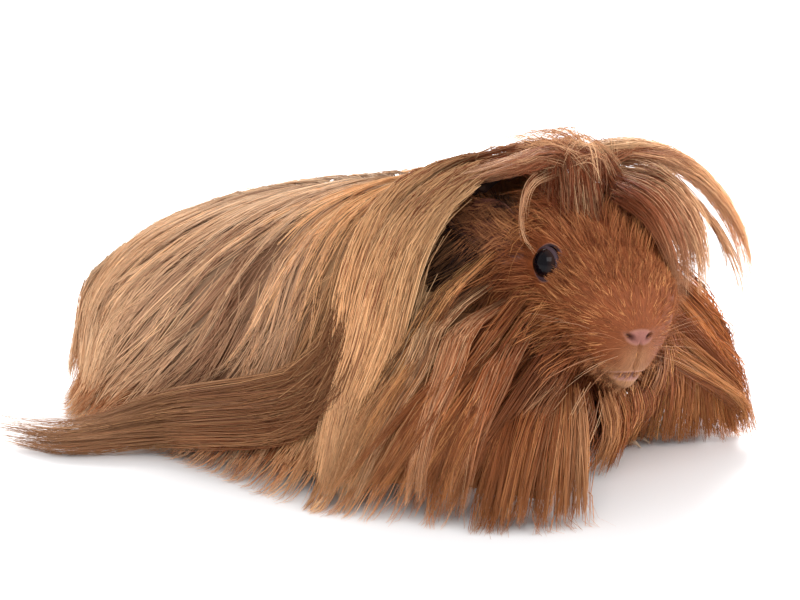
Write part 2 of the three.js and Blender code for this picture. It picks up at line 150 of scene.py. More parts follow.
def head_surface(share, b, inset=FUR):
    """Points of the head in its own frame: share 0 back of the skull to 1 nose, b the angle round it."""
    a = np.pi * share
    x = HEAD_MIDDLE - (HEAD_HALF - inset) * np.cos(a)
    round_off, level = head_ends(x, a)
    above = (head_top(x) - head_level(x)) * round_off - inset
    below = (head_level(x) - head_bottom(x)) * round_off - inset
    wide = np.maximum(head_wide(x) * round_off - inset, 0.05)
    down = np.sin(b) < 0
    fall = np.where(down, head_jaw(x), BROW_FALL)
    y = wide * np.sign(np.cos(b)) * np.abs(np.cos(b)) ** fall
    z = level + np.maximum(np.where(down, below, above), 0.05) * np.sin(b)
    return np.stack(np.broadcast_arrays(x, y, z), -1)


print("nose tip at", from_head([NOSE_X, 0, -9]).round(1))

# %% [markdown]
# The skin is one closed surface, because a real one has no seam between neck and trunk. Each part of the
# body is a loft, a stack of rings. A voxel remesh melts the lofts into one surface, as wax would, and a few
# rounds of smoothing take off the stair steps. The nose, lids and lips need finer faces than the back, so
# only the face is divided further before it is carved.
# %% A loft through rings
def loft(name, rings):
    """A closed mesh through rings of points, given in the animal's own frame."""
    rings = np.asarray(rings, float)
    count, n = rings.shape[:2]
    points = np.concatenate([rings.reshape(-1, 3), rings[:1].mean(1), rings[-1:].mean(1)])
    faces = []
    for i in range(count - 1):
        for j in range(n):
            k = (j + 1) % n
            faces.append((i * n + j, i * n + k, (i + 1) * n + k, (i + 1) * n + j))
    last = (count - 1) * n
    for j in range(n):
        k = (j + 1) % n
        faces += [(count * n, k, j), (count * n + 1, last + j, last + k)]
    mesh = bpy.data.meshes.new(name)
    mesh.from_pydata(metres(points).tolist(), [], faces)
    shell = bmesh.new()
    shell.from_mesh(mesh)
    bmesh.ops.recalc_face_normals(shell, faces=shell.faces)
    shell.to_mesh(mesh)
    shell.free()
    return put_in_scene(name, mesh)


def oval(centre, first, second, a, b, count=32):
    turn = np.linspace(0, 2 * np.pi, count, endpoint=False)[:, None]
    first, second = np.array(first, float), np.array(second, float)
    return np.array(centre) + a * np.cos(turn) * first + b * np.sin(turn) * second


def tube(name, path, sizes, side=(0, 1, 0), count=24, steps=24):
    """A limb: an oval of the given half sizes, swept along a smooth path."""
    path = np.array(path, float)
    knots = np.linspace(0, 1, len(path))
    t = np.linspace(0, 1, steps)
    line = np.stack([profile(*zip(knots, path[:, i]))(t) for i in range(3)], -1)
    wide, thick = (profile(*zip(np.linspace(0, 1, len(s)), s))(t) for s in sizes)
    along = unit(np.gradient(line, axis=0))
    across = unit(np.array(side, float) - along * (along @ np.array(side, float))[:, None])
    out = np.cross(along, across)
    return loft(name, [oval(line[i], across[i], out[i], wide[i], thick[i], count) for i in range(steps)])


print("loft tools ready")

# %% Parts of the body that the skin covers
BELLY_Z = 20
trunk_top = profile((-212, 32), (-198, 45), (-178, 58), (-150, 68), (-112, 77), (-88, 76), (-66, 62),
    (-54, 54))
trunk_wide = profile((-212, 22), (-190, 36), (-150, 43), (-95, 44), (-70, 38), (-54, 32))
UNDER = 1.5  # the skin lies this far inside the trunk's solid


def trunk_ring(share):
    a = np.pi * share
    x = (TRUNK_REAR + TRUNK_FRONT) / 2 - ((TRUNK_FRONT - TRUNK_REAR) / 2 - UNDER) * np.cos(a)
    round_off = min(1, np.sin(a) * 1.25) ** 0.6
    top = float(trunk_top(x))
    wide = max(float(trunk_wide(x)) * round_off - UNDER, 0.3)
    tall = max((top - BELLY_Z) / 2 * round_off - UNDER, 0.3)
    return oval((x, 0, (top + BELLY_Z) / 2), (0, 1, 0), (0, 0, 1), wide, tall, 48)


shares = np.linspace(0.01, 0.99, 60)
turns = np.linspace(0, 2 * np.pi, 96, endpoint=False)
body_parts = [
    loft("trunk_form", [trunk_ring(share) for share in shares]),
    tube("neck_form", [(-86, 0, 56), (-64, 1, 60), (-42, 3, 63)], [(29, 28, 26.5), (27, 26, 25.5)]),
    loft("head_form", [from_head(head_surface(share, turns)) for share in np.linspace(0.008, 0.992, 110)]),
]
FORE = dict(toe_count=4, toe_gap=4.2, calf=8.6, heel_z=4.8)
HIND = dict(toe_count=3, toe_gap=5.4, calf=12.4, heel_z=5.2)
FEET = {
    "fore_right": dict(FORE, hip=(-76, -23, 27), ankle=(-47, -26, 12), heel=(-49, -26), toes=(-34, -27),
    turn=-6),
    "fore_left": dict(FORE, hip=(-76, 23, 27), ankle=(-44, 28, 12), heel=(-47, 28), toes=(-32, 30), turn=8),
    "hind_right": dict(HIND, hip=(-168, -26, 38), ankle=(-168, -30, 12), heel=(-172, -30), toes=(-134, -34),
    turn=-5),
    "hind_left": dict(HIND, hip=(-168, 26, 38), ankle=(-168, 30, 12), heel=(-172, 30), toes=(-134, 34),
    turn=5),
}
TOE_LONG, TOE_Z, TOE_TIP_Z = 9, 3.1, 2.0
TOE_FAN = 9  # degrees from one toe to the next


def toe(foot, i):
    """Where a toe starts, seen from above, and the way it points."""
    fan = i - (foot["toe_count"] - 1) / 2
    a = math.radians(foot["turn"] + fan * TOE_FAN)
    start = np.array((*foot["toes"], 0)) + (0, fan * foot["toe_gap"], 0)
    return start, np.array([math.cos(a), math.sin(a), 0])


for name, foot in FEET.items():
    calf, heel, toes = foot["calf"], (*foot["heel"], foot["heel_z"]), (*foot["toes"], TOE_Z)
    hip, ankle = np.array(foot["hip"]), np.array(foot["ankle"])
    knee = (hip + ankle) / 2 - (3, 0, 0)
    limb = [hip, knee, ankle, heel]
    body_parts.append(tube(name + "_limb", limb, [(calf, calf * 0.5)] * 2, (1, 0, 0), 20, 16))
    body_parts.append(tube(name + "_sole", [heel, toes], [(5.0, 7.2), (5.0, 3.3)], count=20, steps=12))
    for i in range(foot["toe_count"]):
        start, ahead = toe(foot, i)
        root = start + (0, 0, TOE_Z)
        tip = root + TOE_LONG * ahead
        tip[2] = TOE_TIP_Z
        path = [root, (root + tip) / 2 + (0, 0, 0.5), tip]
        body_parts.append(tube(f"{name}_toe_{i}", path, [(2.2, 1.9, 1.7)] * 2, count=12, steps=8))
print(len(body_parts), "forms for the skin")

# %% Melt them into one skin
VOXEL = 0.0011


def run_modifier(piece, kind, **settings):
    """Adds a modifier, applies it to the mesh and takes it off again."""
    modifier = piece.modifiers.new(kind.lower(), kind)
    for key, value in settings.items():
        setattr(modifier, key, value)
    made = bpy.data.meshes.new_from_object(piece.evaluated_get(bpy.context.evaluated_depsgraph_get()))
    piece.modifiers.remove(modifier)
    piece.data = made


def join(name, pieces):
    """One object that holds the meshes of several, which are removed."""
    everything = bmesh.new()
    for piece in pieces:
        everything.from_mesh(piece.data)
        bpy.data.objects.remove(piece)
    mesh = bpy.data.meshes.new(name)
    everything.to_mesh(mesh)
    everything.free()
    return put_in_scene(name, mesh)


skin = join("skin", body_parts)
run_modifier(skin, "REMESH", mode="VOXEL", voxel_size=VOXEL)
run_modifier(skin, "SMOOTH", factor=0.5, iterations=8)
print("skin has", len(skin.data.polygons), "faces")

# %% [markdown]
# The face is carved on that surface. First its faces are split where the detail is: once over the muzzle
# and round the eyes, and once more at the nose, lips and lids. Then each feature is one soft push: a hill
# or a groove with a centre, a size and a height, written in the head's own frame.
# %% Finer faces on the face
EYE_R = 5.35
EYE_AT = {-1: np.array([8, -19.6, 6.8]), 1: np.array([8, 19.6, 6.8])}
SIDES = {-1: "right", 1: "left"}


def vertices_of(piece):
    flat = np.empty(len(piece.data.vertices) * 3, np.float32)
    piece.data.vertices.foreach_get("co", flat)
    return flat.reshape(-1, 3).astype(float) * 1000 - ORIGIN


def move_vertices(piece, points):
    piece.data.vertices.foreach_set("co", metres(points).astype(np.float32).ravel())
    piece.data.update()


def split_faces(piece, chosen):
    shell = bmesh.new()
    shell.from_mesh(piece.data)
    shell.verts.ensure_lookup_table()
    inside = [edge for edge in shell.edges if chosen[edge.verts[0].index] and chosen[edge.verts[1].index]]
    bmesh.ops.subdivide_edges(shell, edges=inside, cuts=1, use_grid_fill=True, smooth=0.0)
    bmesh.ops.triangulate(shell, faces=[face for face in shell.faces if len(face.verts) > 4])
    shell.to_mesh(piece.data)
    shell.free()


def eye_distance(local):
    return np.minimum(*(np.linalg.norm(local - EYE_AT[side], axis=1) for side in SIDES))


local = to_head(vertices_of(skin))
split_faces(skin, (local[:, 0] > 16) | (eye_distance(local) < 10))
run_modifier(skin, "SMOOTH", factor=0.5, iterations=2)
local = to_head(vertices_of(skin))
front = (local[:, 0] > 27) & (local[:, 2] < 2) & (np.abs(local[:, 1]) < 13)
split_faces(skin, front | (eye_distance(local) < 7.5))
print("skin has", len(skin.data.polygons), "faces")


# %% Carve nose, nostrils, lips and brow
def hill(local, centre, size):
    """1 at the centre, falling softly to 0 at about twice the size."""
    away = (local - np.array(centre)) / np.array(size)
    return np.exp(-(away**2).sum(1))


def normals_of(piece):
    flat = np.empty(len(piece.data.vertices) * 3, np.float32)
    piece.data.vertex_normals.foreach_get("vector", flat)
    return flat.reshape(-1, 3).astype(float)


def nostril(local, side):
    """How far each point lies along and across a nostril's slanting slit."""
    y, z = local[:, 1] * side - 3.2, local[:, 2] + 9.5
    return y * 0.86 + z * 0.5, z * 0.86 - y * 0.5


def carve(piece):
    points = vertices_of(piece)
    local = to_head(points)
    out = normals_of(piece) @ TURN
    push = np.zeros(len(points))
    for side in SIDES:
        push += 1.1 * hill(local, (36, side * 4.6, -17.5), (6, 4.2, 5.5))  # whisker pads
        push -= 0.9 * hill(local, (17, side * 20, 5), (5, 8, 5))  # hollow before the eye
        push += 0.9 * hill(local, (5, side * 19, 13.5), (7, 8, 3))  # brow
        push += 0.5 * hill(local, (39, side * 5.6, -7.4), (3, 1.5, 1.8))  # wing of the nostril
    push += 0.8 * hill(local, (38.5, 0, -10), (4, 4.5, 3))  # nose
    push += 1.0 * hill(local, (33, 0, -26.8), (5, 5, 2.2))  # lower lip
    ahead = smooth(27, 32, local[:, 0]) * smooth(11, 7, np.abs(local[:, 1]))
    mouth = local[:, 2] + 23.2 + 0.028 * local[:, 1] ** 2
    push -= 1.7 * ahead * np.exp(-((mouth / 0.75) ** 2))
    split = smooth(-22.5, -20, local[:, 2]) * smooth(-9.5, -12, local[:, 2]) * smooth(30, 34, local[:, 0])
    push -= 0.9 * split * np.exp(-((local[:, 1] / 0.65) ** 2))
    points = from_head(local + out * push[:, None])
    local = to_head(points)
    for side in SIDES:
        along, across = nostril(local, side)
        hole = np.exp(-((along / 1.5) ** 2) - (across / 0.8) ** 2) * (np.abs(local[:, 0] - 39.3) < 5)
        local[:, 0] -= 1.8 * hole
    move_vertices(piece, from_head(local))


carve(skin)
print("face carved")

# %% [markdown]
# A guinea pig's eye is a dark, wet ball that stands a little out of the head, in lids with a thin bare rim.
# The socket is cut out of the skin with a Boolean, and each lid is a low ring laid round the ball: its
# profile is given as pairs of the angle from the eye's axis and the distance from the eye's centre.
# %% Sockets and lids
EYE_LOOK = {side: unit(np.array([0.30, side * 0.92, 0.16])) for side in SIDES}
LID = [(-4, -0.5), (-1, 0.10), (1.5, 0.24), (5, 0.38), (10, 0.36), (17, 0.0), (26, -0.8), (38, -2.4)]


def frame_round(axis):
    """Two directions square to an axis: the first as level as can be."""
    first = unit(np.cross([0, 0, 1], axis))
    return first, np.cross(axis, first)


def ball_grid(name, centre, radius, axis, bulge=0.0, rings=48, count=64):
    """A ball whose pole lies on the axis, with the cornea's bulge at that pole."""
    first, second = frame_round(axis)
    stack = []
    for a in np.linspace(0.5, 179.5, rings):
        reach = radius + bulge * math.exp(-((a / 30) ** 2))
        a = math.radians(a)
        middle = centre + axis * reach * math.cos(a)
        stack.append(from_head(oval(middle, first, second, reach * math.sin(a), reach * math.sin(a), count)))
    return loft(name, stack)


def lid_ring(side, count=72):
    centre, axis = EYE_AT[side], EYE_LOOK[side]
    first, second = frame_round(axis)
    turn = np.linspace(0, 2 * np.pi, count, endpoint=False)
    opening = 69 - 5.5 * np.abs(np.sin(turn)) ** 1.5 + 2.5 * np.cos(turn) ** 2
    stack = []
    for step, rise in LID:
        a = np.radians(opening + step)[:, None]
        ring = np.cos(turn)[:, None] * first + np.sin(turn)[:, None] * second
        stack.append(from_head(centre + (EYE_R + rise) * (np.cos(a) * axis + np.sin(a) * ring)))
    return loft("lid_" + SIDES[side], stack)


for side in SIDES:
    socket = ball_grid("socket", EYE_AT[side], EYE_R + 0.12, EYE_LOOK[side])
    run_modifier(skin, "BOOLEAN", operation="DIFFERENCE", object=socket, solver="EXACT")
    bpy.data.objects.remove(socket)
lids = [lid_ring(side) for side in SIDES]
eyes = {
    side: ball_grid("eyeball_" + SIDES[side], EYE_AT[side], EYE_R - 0.1, EYE_LOOK[side], 0.15)
    for side in SIDES
}
print("eyes, sockets and lids made")

# %% [markdown]
# A guinea pig's ear is a bare, petal-shaped flap with a wavy edge, rooted high on the side of the head and
# drooping over its own opening. It is one grid bent into a cup, with a front and a back 1 mm apart.
# %% Ears
EARS = {
    -1: dict(root=(-12, -24, 8), tip=(-27, -33, 17), face=(0.6, -0.75, 0.1)),
    1: dict(root=(-12, 24, 8), tip=(-30, 31, 4), face=(0.6, 0.75, 0.3)),
}
EAR_WIDTH = 17


def ear(side, along=30, across=26):
    shape = EARS[side]
    start, face = np.array(shape["root"], float), np.array(shape["face"])
    reach = np.array(shape["tip"], float) - start
    breadth = unit(np.cross(face, reach))
    out = unit(np.cross(reach, breadth))
    rings = []
    for u in np.linspace(0, 1, along):
        v = np.linspace(-1, 1, across)
        half = EAR_WIDTH / 2 * math.sin(math.pi * (0.16 + 0.8 * u)) ** 0.6
        ruffle = 0.35 * np.abs(v) ** 3 * np.sin(9 * u + 2 * v) * (0.3 + u)
        cup = 3.7 * (v**2 - 1) * math.sin(math.pi * min(1, u + 0.15)) + ruffle
        thick = 0.52 - 0.22 * np.abs(v) ** 2
        middle = start + u * reach + v[:, None] * half * breadth + cup[:, None] * out
        front, back = middle + thick[:, None] * out, middle - thick[:, None] * out
        rings.append(from_head(np.concatenate([front, back[::-1]])))
    return loft("ear_" + SIDES[side], rings)


skin = join("skin", [skin, *lids, *(ear(side) for side in SIDES)])
print("skin has", len(skin.data.polygons), "faces with lids and ears")

# %% [markdown]
# The long coat hangs as a curtain whose outer shape is known: at each distance along the body it rises from
# the floor to the flank and over the back to the parting. A point of it is given by x and by a share s, 0
# at the parting and 1 at the floor.
# %% The curtain's outer shape
rump_top = [(-228, 23), (-222, 38), (-213, 49.5), (-200, 60.5), (-183, 70), (-150, 80.5), (-110, 88.5)]
rump_plan = [(-228, 8), (-222, 20), (-213, 32), (-202, 41), (-188, 48), (-150, 52)]
rump_hem = [(-228, 10), (-222, 24), (-213, 38), (-200, 52), (-170, 63), (-141, 69)]
coat_top = profile(*rump_top, (-70, 98), (-50, 103), (-32, 93), (-12, 72), (2, 50), (8, 26))
coat_flank = {
    -1: profile(*rump_plan, (-95, 54), (-50, 50), (-20, 44), (8, 32)),
    1: profile(*rump_plan, (-95, 56), (-50, 59), (-22, 60), (-8, 56), (8, 43)),
}
coat_hem = {
    -1: profile(*rump_hem, (-74, 87), (-35, 79), (-10, 71), (0, 58), (8, 42)),
    1: profile(*rump_hem, (-74, 80), (-35, 76), (-10, 66), (8, 50)),
}
FLANK_SHARE = 0.48  # height of the widest level of the back's arch, as a share of the top
ARCH = 0.56  # the share s at which the back's arch ends and the hem's flare begins
ARCH_WIDE, ARCH_TALL = 0.85, 0.92  # these powers make the arch fuller than an oval
COAT_REAR, COAT_FRONT = -228, 8


def curtain(x, s, side):
    top = coat_top(x)
    waist = top * FLANK_SHARE
    flank, hem = coat_flank[side](x), coat_hem[side](x)
    a = np.pi / 2 * (1 - np.clip(s / ARCH, 0, 1))
    t = 1 - np.clip((s - ARCH) / (1 - ARCH), 0, 1)
    arch = s < ARCH
    y = np.where(arch, flank * np.clip(np.cos(a), 0, 1) ** ARCH_WIDE, flank + (hem - flank) * (1 - t) ** 2)
    z = np.where(arch, waist + (top - waist) * np.sin(a) ** ARCH_TALL, waist * t)
    return np.stack(np.broadcast_arrays(x, side * y, z), -1)


print("curtain hangs from x =", COAT_REAR, "to", COAT_FRONT)

# %% [markdown]
# The coat's colours are zones that melt into each other: a ginger face with a darker crown and a pale chin,
# a golden mane, a sandy back and a hem that turns a warmer brown towards the floor. Some zones are painted
# light and shade: a pale highlight along the top of the back, near-black shade behind the right ear, and on
# the left side a chest whose own orange is lightened where the lamps reach it less. One function gives the
# colour of hair that grows at a point, and the skin below reads the same function, so both carry the same
# markings.
# %% Markings
def shade(hex_colour):
    """A colour written as on a paint chart, as the linear numbers that a shader works in."""
    c = np.array([int(hex_colour[i : i + 2], 16) for i in (0, 2, 4)]) / 255
    return np.where(c <= 0.04045, c / 12.92, ((c + 0.055) / 1.055) ** 2.4)


PALETTE = {
    "sand": shade("e2b590"),
    "rump": shade("e8b98e"),
    # painted highlight: the pale top of the back, where the light from above falls
    "painted_top_highlight": shade("f6dec2"),
    "umber": shade("8a5234"),
    # painted shade: the near-black brown of the hollow round and behind the right ear
    "painted_ear_shade": shade("2e1713"),
    "ear": shade("b8764c"),
    "gold": shade("efb781"),
    "cheek": shade("bb6837"),
    "face": shade("97502a"),
    "crown": shade("8c4020"),
    "hem": shade("b4622a"),
    "chin": shade("c48f66"),
    # partly painted light: the chest's own orange, made lighter for the left side, which the lamps reach less
    "chest": shade("e68f4e"),
}


def near_segment(points, start, end):
    start, end = np.array(start, float), np.array(end, float)
    t = np.clip(((points - start) @ (end - start)) / ((end - start) ** 2).sum(), 0, 1)
    return np.linalg.norm(points - start - t[:, None] * (end - start), axis=1)


def ear_distance(local, side):
    return near_segment(local, EARS[side]["root"], EARS[side]["tip"])


def marking(points):
    x, y, z = np.asarray(points, float).T
    local = to_head(points)
    colour = np.tile(PALETTE["sand"], (len(x), 1))

    def lay(name, amount):
        colour[:] = colour + (PALETTE[name] - colour) * np.clip(amount, 0, 1)[:, None]

    lay("rump", smooth(-150, -195, x))
    lay("umber", 0.7 * np.exp(-(((x + 128 - 0.35 * (z - 60)) / 9) ** 2)) * smooth(86, 70, z))
    lay("umber", 0.55 * np.exp(-(((x + 101) / 5) ** 2)) * smooth(82, 60, z))
    # painted highlight: the top of the back, behind the mane, is paler where the light from above falls
    lay("painted_top_highlight", 0.75 * smooth(-8, 3, z - coat_top(x)) * smooth(-60, -95, x))
    lay("gold", smooth(-108, -92, x))
    lay("cheek", smooth(-62, -44, x) * smooth(92, 76, z))
    # the left side of the chest: its own orange, lightened as painted light where the lamps reach it less
    lay("chest", smooth(-30, 0, x) * smooth(10, 25, y))
    lay("hem", smooth(30, 10, z) * (0.55 + 0.3 * smooth(-88, -104, x)))
    forward, aside, up = local.T
    head = smooth(-34, -22, forward) * smooth(34, 29, np.abs(aside)) * smooth(-40, -34, up)
    lay("face", head)
    lay("crown", head * smooth(12, 22, up) * smooth(16, 0, forward) * 0.8)
    lay("chin", head * smooth(-17, -24, up) * smooth(18, 31, forward) * 0.85)
    lay("chin", head * hill(local, (37, 0, -17), (7, 6, 5)) * 0.6)
    ear_far = ear_distance(local, -1)
    # painted shade: a band behind the right ear and the hollow under the mane take the near-black brown
    painted_shade_ring = smooth(19, 12, ear_far) * smooth(-6, -14, forward) * smooth(-3, 4, up)
    lay("painted_ear_shade", np.maximum(1.6 * hill(points, (-63, -30, 68), (13, 14, 13)), painted_shade_ring))
    lay("ear", 0.85 * smooth(7.8, 6.0, ear_far))
    return colour


print(len(PALETTE), "colours in the markings")

# %% [markdown]
# Materials are written as sums. A small class wraps a socket, so that plain Python arithmetic adds the Math
# nodes, and one method adds any other node: its settings first, then the values or links of its sockets.
# %% Shader arithmetic
class Value:
    """A number that varies over a surface."""

    def __init__(self, material, socket):
        self.material, self.socket = material, socket

    def maths(self, operation, *others, clamp=False):
        settings, inputs = dict(operation=operation, use_clamp=clamp), dict(enumerate((self, *others)))
        return self.material.node("ShaderNodeMath", settings, inputs).value()

    def __add__(self, other):
        return self.maths("ADD", other)

    def __mul__(self, other):
        return self.maths("MULTIPLY", other)

    def __sub__(self, other):
        return self.maths("SUBTRACT", other)

    def __rsub__(self, other):
        return (self * -1) + other

    def __pow__(self, other):
        return self.maths("POWER", other)

    __radd__, __rmul__ = __add__, __mul__

    def clamped(self):
        return self.maths("ADD", 0.0, clamp=True)


class Added:
    """A node in a material, and its outputs by name."""

    def __init__(self, material, node):
        self.material, self.made = material, node

    def value(self, name=None):
        outputs = self.made.outputs
        return Value(self.material, outputs[name] if name else outputs[0])


class Material:
    def __init__(self, name, roughness, specular=0.5):
        self.made = bpy.data.materials.new(name)
        self.made.use_nodes = True
        self.tree = self.made.node_tree
        self.shader = self.tree.nodes["Principled BSDF"]
        self.shader.inputs["Roughness"].default_value = roughness
        self.shader.inputs["Specular IOR Level"].default_value = specular

    def fill(self, socket, value):
        if isinstance(value, Value):
            self.tree.links.new(value.socket, socket)
        else:
            socket.default_value = value

    def node(self, kind, settings=(), inputs=()):
        made = self.tree.nodes.new(kind)
        for key, value in dict(settings).items():
            setattr(made, key, value)
        for key, value in dict(inputs).items():
            self.fill(made.inputs[key], value)
        return Added(self, made)

    def attribute(self, name, output="Fac"):
        return self.node("ShaderNodeAttribute", dict(attribute_name=name)).value(output)

    def mix(self, amount, first, second):
        """Two colours mixed: a Mix node's sockets 6 and 7 are its colours, and its output 2 is their mix."""
        added = self.node("ShaderNodeMix", dict(data_type="RGBA"), {0: amount, 6: first, 7: second})
        return Value(self, added.made.outputs[2])

    def scaled(self, colour, amount):
        inputs = {0: colour, "Scale": amount}
        return self.node("ShaderNodeVectorMath", dict(operation="SCALE"), inputs).value("Vector")

    def noise_at(self, place, scale, detail):
        inputs = {"Vector": place, "Scale": scale, "Detail": detail}
        return self.node("ShaderNodeTexNoise", (), inputs).value("Fac")

    def noise(self, scale, detail=3.0, stretch=(1, 1, 1)):
        place = self.node("ShaderNodeTexCoord").value("Object")
        spread = self.node("ShaderNodeMapping", (), {"Vector": place, "Scale": stretch}).value("Vector")
        return self.noise_at(spread, scale, detail)

    def colour(self, value):
        self.fill(self.shader.inputs["Base Color"], value)

    def bump(self, height, strength, distance):
        settings = {"Height": height, "Strength": strength, "Distance": distance}
        self.fill(self.shader.inputs["Normal"], self.node("ShaderNodeBump", (), settings).value("Normal"))


print("shader arithmetic ready")

# %% [markdown]
# Hair is darkest at the root, where it lies in its neighbours' shade, and its tips are bleached. Each strand
# also has a tone of its own: light ones lean to gold and dark ones to russet, which is what keeps a coat
# from looking like plastic. A low gloss gives the silky streaks that long hair shows under a lamp.
# %% Hair, skin, eye and claw materials
def hair_material(name, pale, warm, root_shade, tip=0.2, spread=0.2, roughness=0.48):
    """tip is how far the tips lean to the pale colour, spread how much the tone lightens or darkens."""
    made = Material(name, roughness, specular=0.22)
    pale, warm = (*shade(pale), 1), (*shade(warm), 1)
    grown, tone, along = made.attribute("marking", "Color"), made.attribute("tone"), made.attribute("along")
    light = (root_shade + (1 - root_shade) * (along * 2.4).clamped()) * (1 + spread * tone)
    leaning = made.mix((tone * 0.5).clamped(), grown, pale)
    leaning = made.mix((tone * -0.45).clamped(), leaning, warm)
    bleached = made.mix(along**2 * tip, leaning, pale)
    made.colour(made.scaled(bleached, light))
    return made.made


LONG_HAIR = hair_material("long silky hair", "f6cb9c", "964a21", root_shade=0.62, tip=0.32)
FACE_FUR = hair_material("short face fur", "e0a268", "74381d", 0.6, tip=0.15, spread=0.24, roughness=0.6)
CHEEK_HAIR = hair_material("long cheek hair", "e0a468", "925028", root_shade=0.9)
# ear hair and the hair in the hollow behind the ear: its dark strands lean to near-black, painted shade
EAR_HAIR_AND_PAINTED_SHADE = hair_material("ear hair", "cc8c5c", "2e1713", root_shade=0.7, tip=0.12)
WHISKER = hair_material("whiskers", "dcbc98", "a07850", root_shade=0.8, spread=0.1)


def painted_shade_undercoat_material():
    """The soft hair below the long strands: fine streaks that follow the lie of the coat, darkened as painted
    shade.
    """
    made = Material("undercoat", 0.65, specular=0.1)
    grown, streak = made.attribute("marking", "Color"), made.attribute("streak", "Vector")
    fine, broad = made.noise_at(streak, 1.6, 4.0), made.noise_at(streak, 0.22, 2.0)
    # painted shade: the markings darkened to between 0.05 and 0.75 of their colour, for the gaps between
    # locks
    made.colour(made.scaled(grown, 0.05 + 0.5 * fine + 0.2 * broad))
    made.bump(fine, 0.7, 0.0005)
    return made.made


def skin_material():
    made = Material("skin", 0.6, specular=0.2)
    grown, bare = made.attribute("marking", "Color"), made.attribute("bare")
    settings, way = dict(noise_dimensions="4D"), made.attribute("fur_way", "Vector")
    inputs = {"Vector": way, "W": made.attribute("fur_far"), "Scale": 34.0, "Detail": 3.0}
    streaks = made.node("ShaderNodeTexNoise", settings, inputs).value("Fac")
    fur = made.scaled(grown, 0.28 + 0.85 * streaks)
    flesh = made.scaled(made.attribute("flesh", "Color"), 0.82 + 0.36 * made.noise(450))
    made.colour(made.mix(bare, fur, flesh))
    made.bump(streaks + 0.15 * made.noise(2200, 2), 0.8, 0.0006)
    return made.made


def eye_material():
    """A nearly black pupil in a dark brown iris, which darkens again at its rim, all smooth and wet."""
    made = Material("wet dark eye", 0.04, specular=0.13)
    off_axis = made.attribute("off_axis")
    pupil, brown, dark, fleck = ((*shade(c), 1) for c in ("07050a", "2a1712", "0c0810", "150c12"))
    iris = made.mix(((off_axis - 0.42) * 4).clamped(), pupil, brown)
    rim = made.mix(((off_axis - 0.78) * 6).clamped(), iris, dark)
    made.colour(made.mix((made.noise(900) - 0.35).clamped() * 0.4, rim, fleck))
    return made.made


def claw_material():
    made = Material("horn", 0.35, specular=0.5)
    streak = made.noise(600, stretch=(1, 4, 4))
    made.colour(made.mix(streak, (*shade("cdb79c"), 1), (*shade("8d7560"), 1)))
    made.bump(streak, 0.3, 0.0002)
    return made.made


print("materials ready")

# %% [markdown]
# Bare skin shows only at the nose, the lips, the rims of the eyes, inside the ears and on the feet. Its
# colour runs from a dusky pink at the nose to grey on the lids, and how bare the skin is at each vertex is
# one more number that the material reads.
# %% Colour and finish the skin
KEYS = {"FLOAT": "value", "FLOAT_COLOR": "color", "FLOAT_VECTOR": "vector"}


def attach_points(mesh, label, values, kind="FLOAT"):
    """Writes one number, colour or vector for each vertex. A colour gets its alpha here."""
    if kind == "FLOAT_COLOR":
        values = np.concatenate([values, np.ones((len(values), 1))], -1)
    layer = mesh.attributes.new(label, kind, "POINT")
    layer.data.foreach_set(KEYS[kind], np.ascontiguousarray(values, np.float32).ravel())


def colour_skin():
    points = vertices_of(skin)
    local = to_head(points)
    flesh = np.tile(shade("c89484"), (len(points), 1))
    bare = smooth(14, 9, points[:, 2]) * (local[:, 2] < -40)

    def lay(colour, amount):
        flesh[:] = flesh + (shade(colour) - flesh) * np.clip(amount, 0, 1)[:, None]
        np.maximum(bare, amount, out=bare)

    nose = smooth(1.3, 0.8, np.linalg.norm((local - (38.9, 0, -9.6)) / (3.6, 4.9, 2.4), axis=1))
    lay("a36a5e", nose)
    mouth = np.abs(local[:, 2] + 23.5 + 0.028 * local[:, 1] ** 2)
    lay("9a6e64", smooth(2.4, 1.0, mouth) * smooth(29, 32, local[:, 0]) * smooth(8, 5.5, np.abs(local[:, 1])))
    for side in SIDES:
        along, across = nostril(local, side)
        # the nostril slits: a dark red that is partly the lining and partly painted shade of the openings
        lay("3a1414", np.exp(-(along**2) / 2.6 - across**2 / 0.7) * (local[:, 0] > 34))
        lay("45343a", smooth(EYE_R + 1.3, EYE_R + 0.6, np.linalg.norm(local - EYE_AT[side], axis=1)))
        outside = np.abs(local[:, 1]) > 24
        lay("7b4a3c", smooth(10, 8, ear_distance(local, side)) * outside * (local[:, 2] > 1))
    attach_points(skin.data, "marking", marking(points), "FLOAT_COLOR")
    attach_points(skin.data, "flesh", flesh, "FLOAT_COLOR")
    attach_points(skin.data, "bare", bare)
    on_head = smooth(-38, -30, local[:, 0])[:, None]
    away = local - (41, 0, -10)
    far = np.linalg.norm(away, axis=1)
    way = (away / far[:, None]) * on_head + points * (0.03, 0.1, 0.03) * (1 - on_head)
    attach_points(skin.data, "fur_far", far * 0.006 * on_head[:, 0])
    attach_points(skin.data, "fur_way", way, "FLOAT_VECTOR")


def finish_piece(piece, material=None):
    """Smooth shading, one material where none is set yet, and a place on the model's only body."""
    if material:
        piece.data.materials.clear()
        piece.data.materials.append(material)
    piece.data.polygons.foreach_set("use_smooth", np.ones(len(piece.data.polygons), bool))
    piece.data.update()
    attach(piece, "root")
    return piece


colour_skin()
finish_piece(skin, skin_material())
legs = ["leg_" + name for name in FEET]
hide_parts("trunk", "neck", "head", "nose", "ear_right", "ear_left", *legs)
wet = eye_material()
for side, eye in eyes.items():
    aim = unit(to_head(vertices_of(eye)) - EYE_AT[side]) @ EYE_LOOK[side]
    attach_points(eye.data, "off_axis", np.arccos(np.clip(aim, -1, 1)) / (np.pi / 2))
    finish_piece(eye, wet)
    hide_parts("eye_" + SIDES[side])
print("skin and eyes finished")

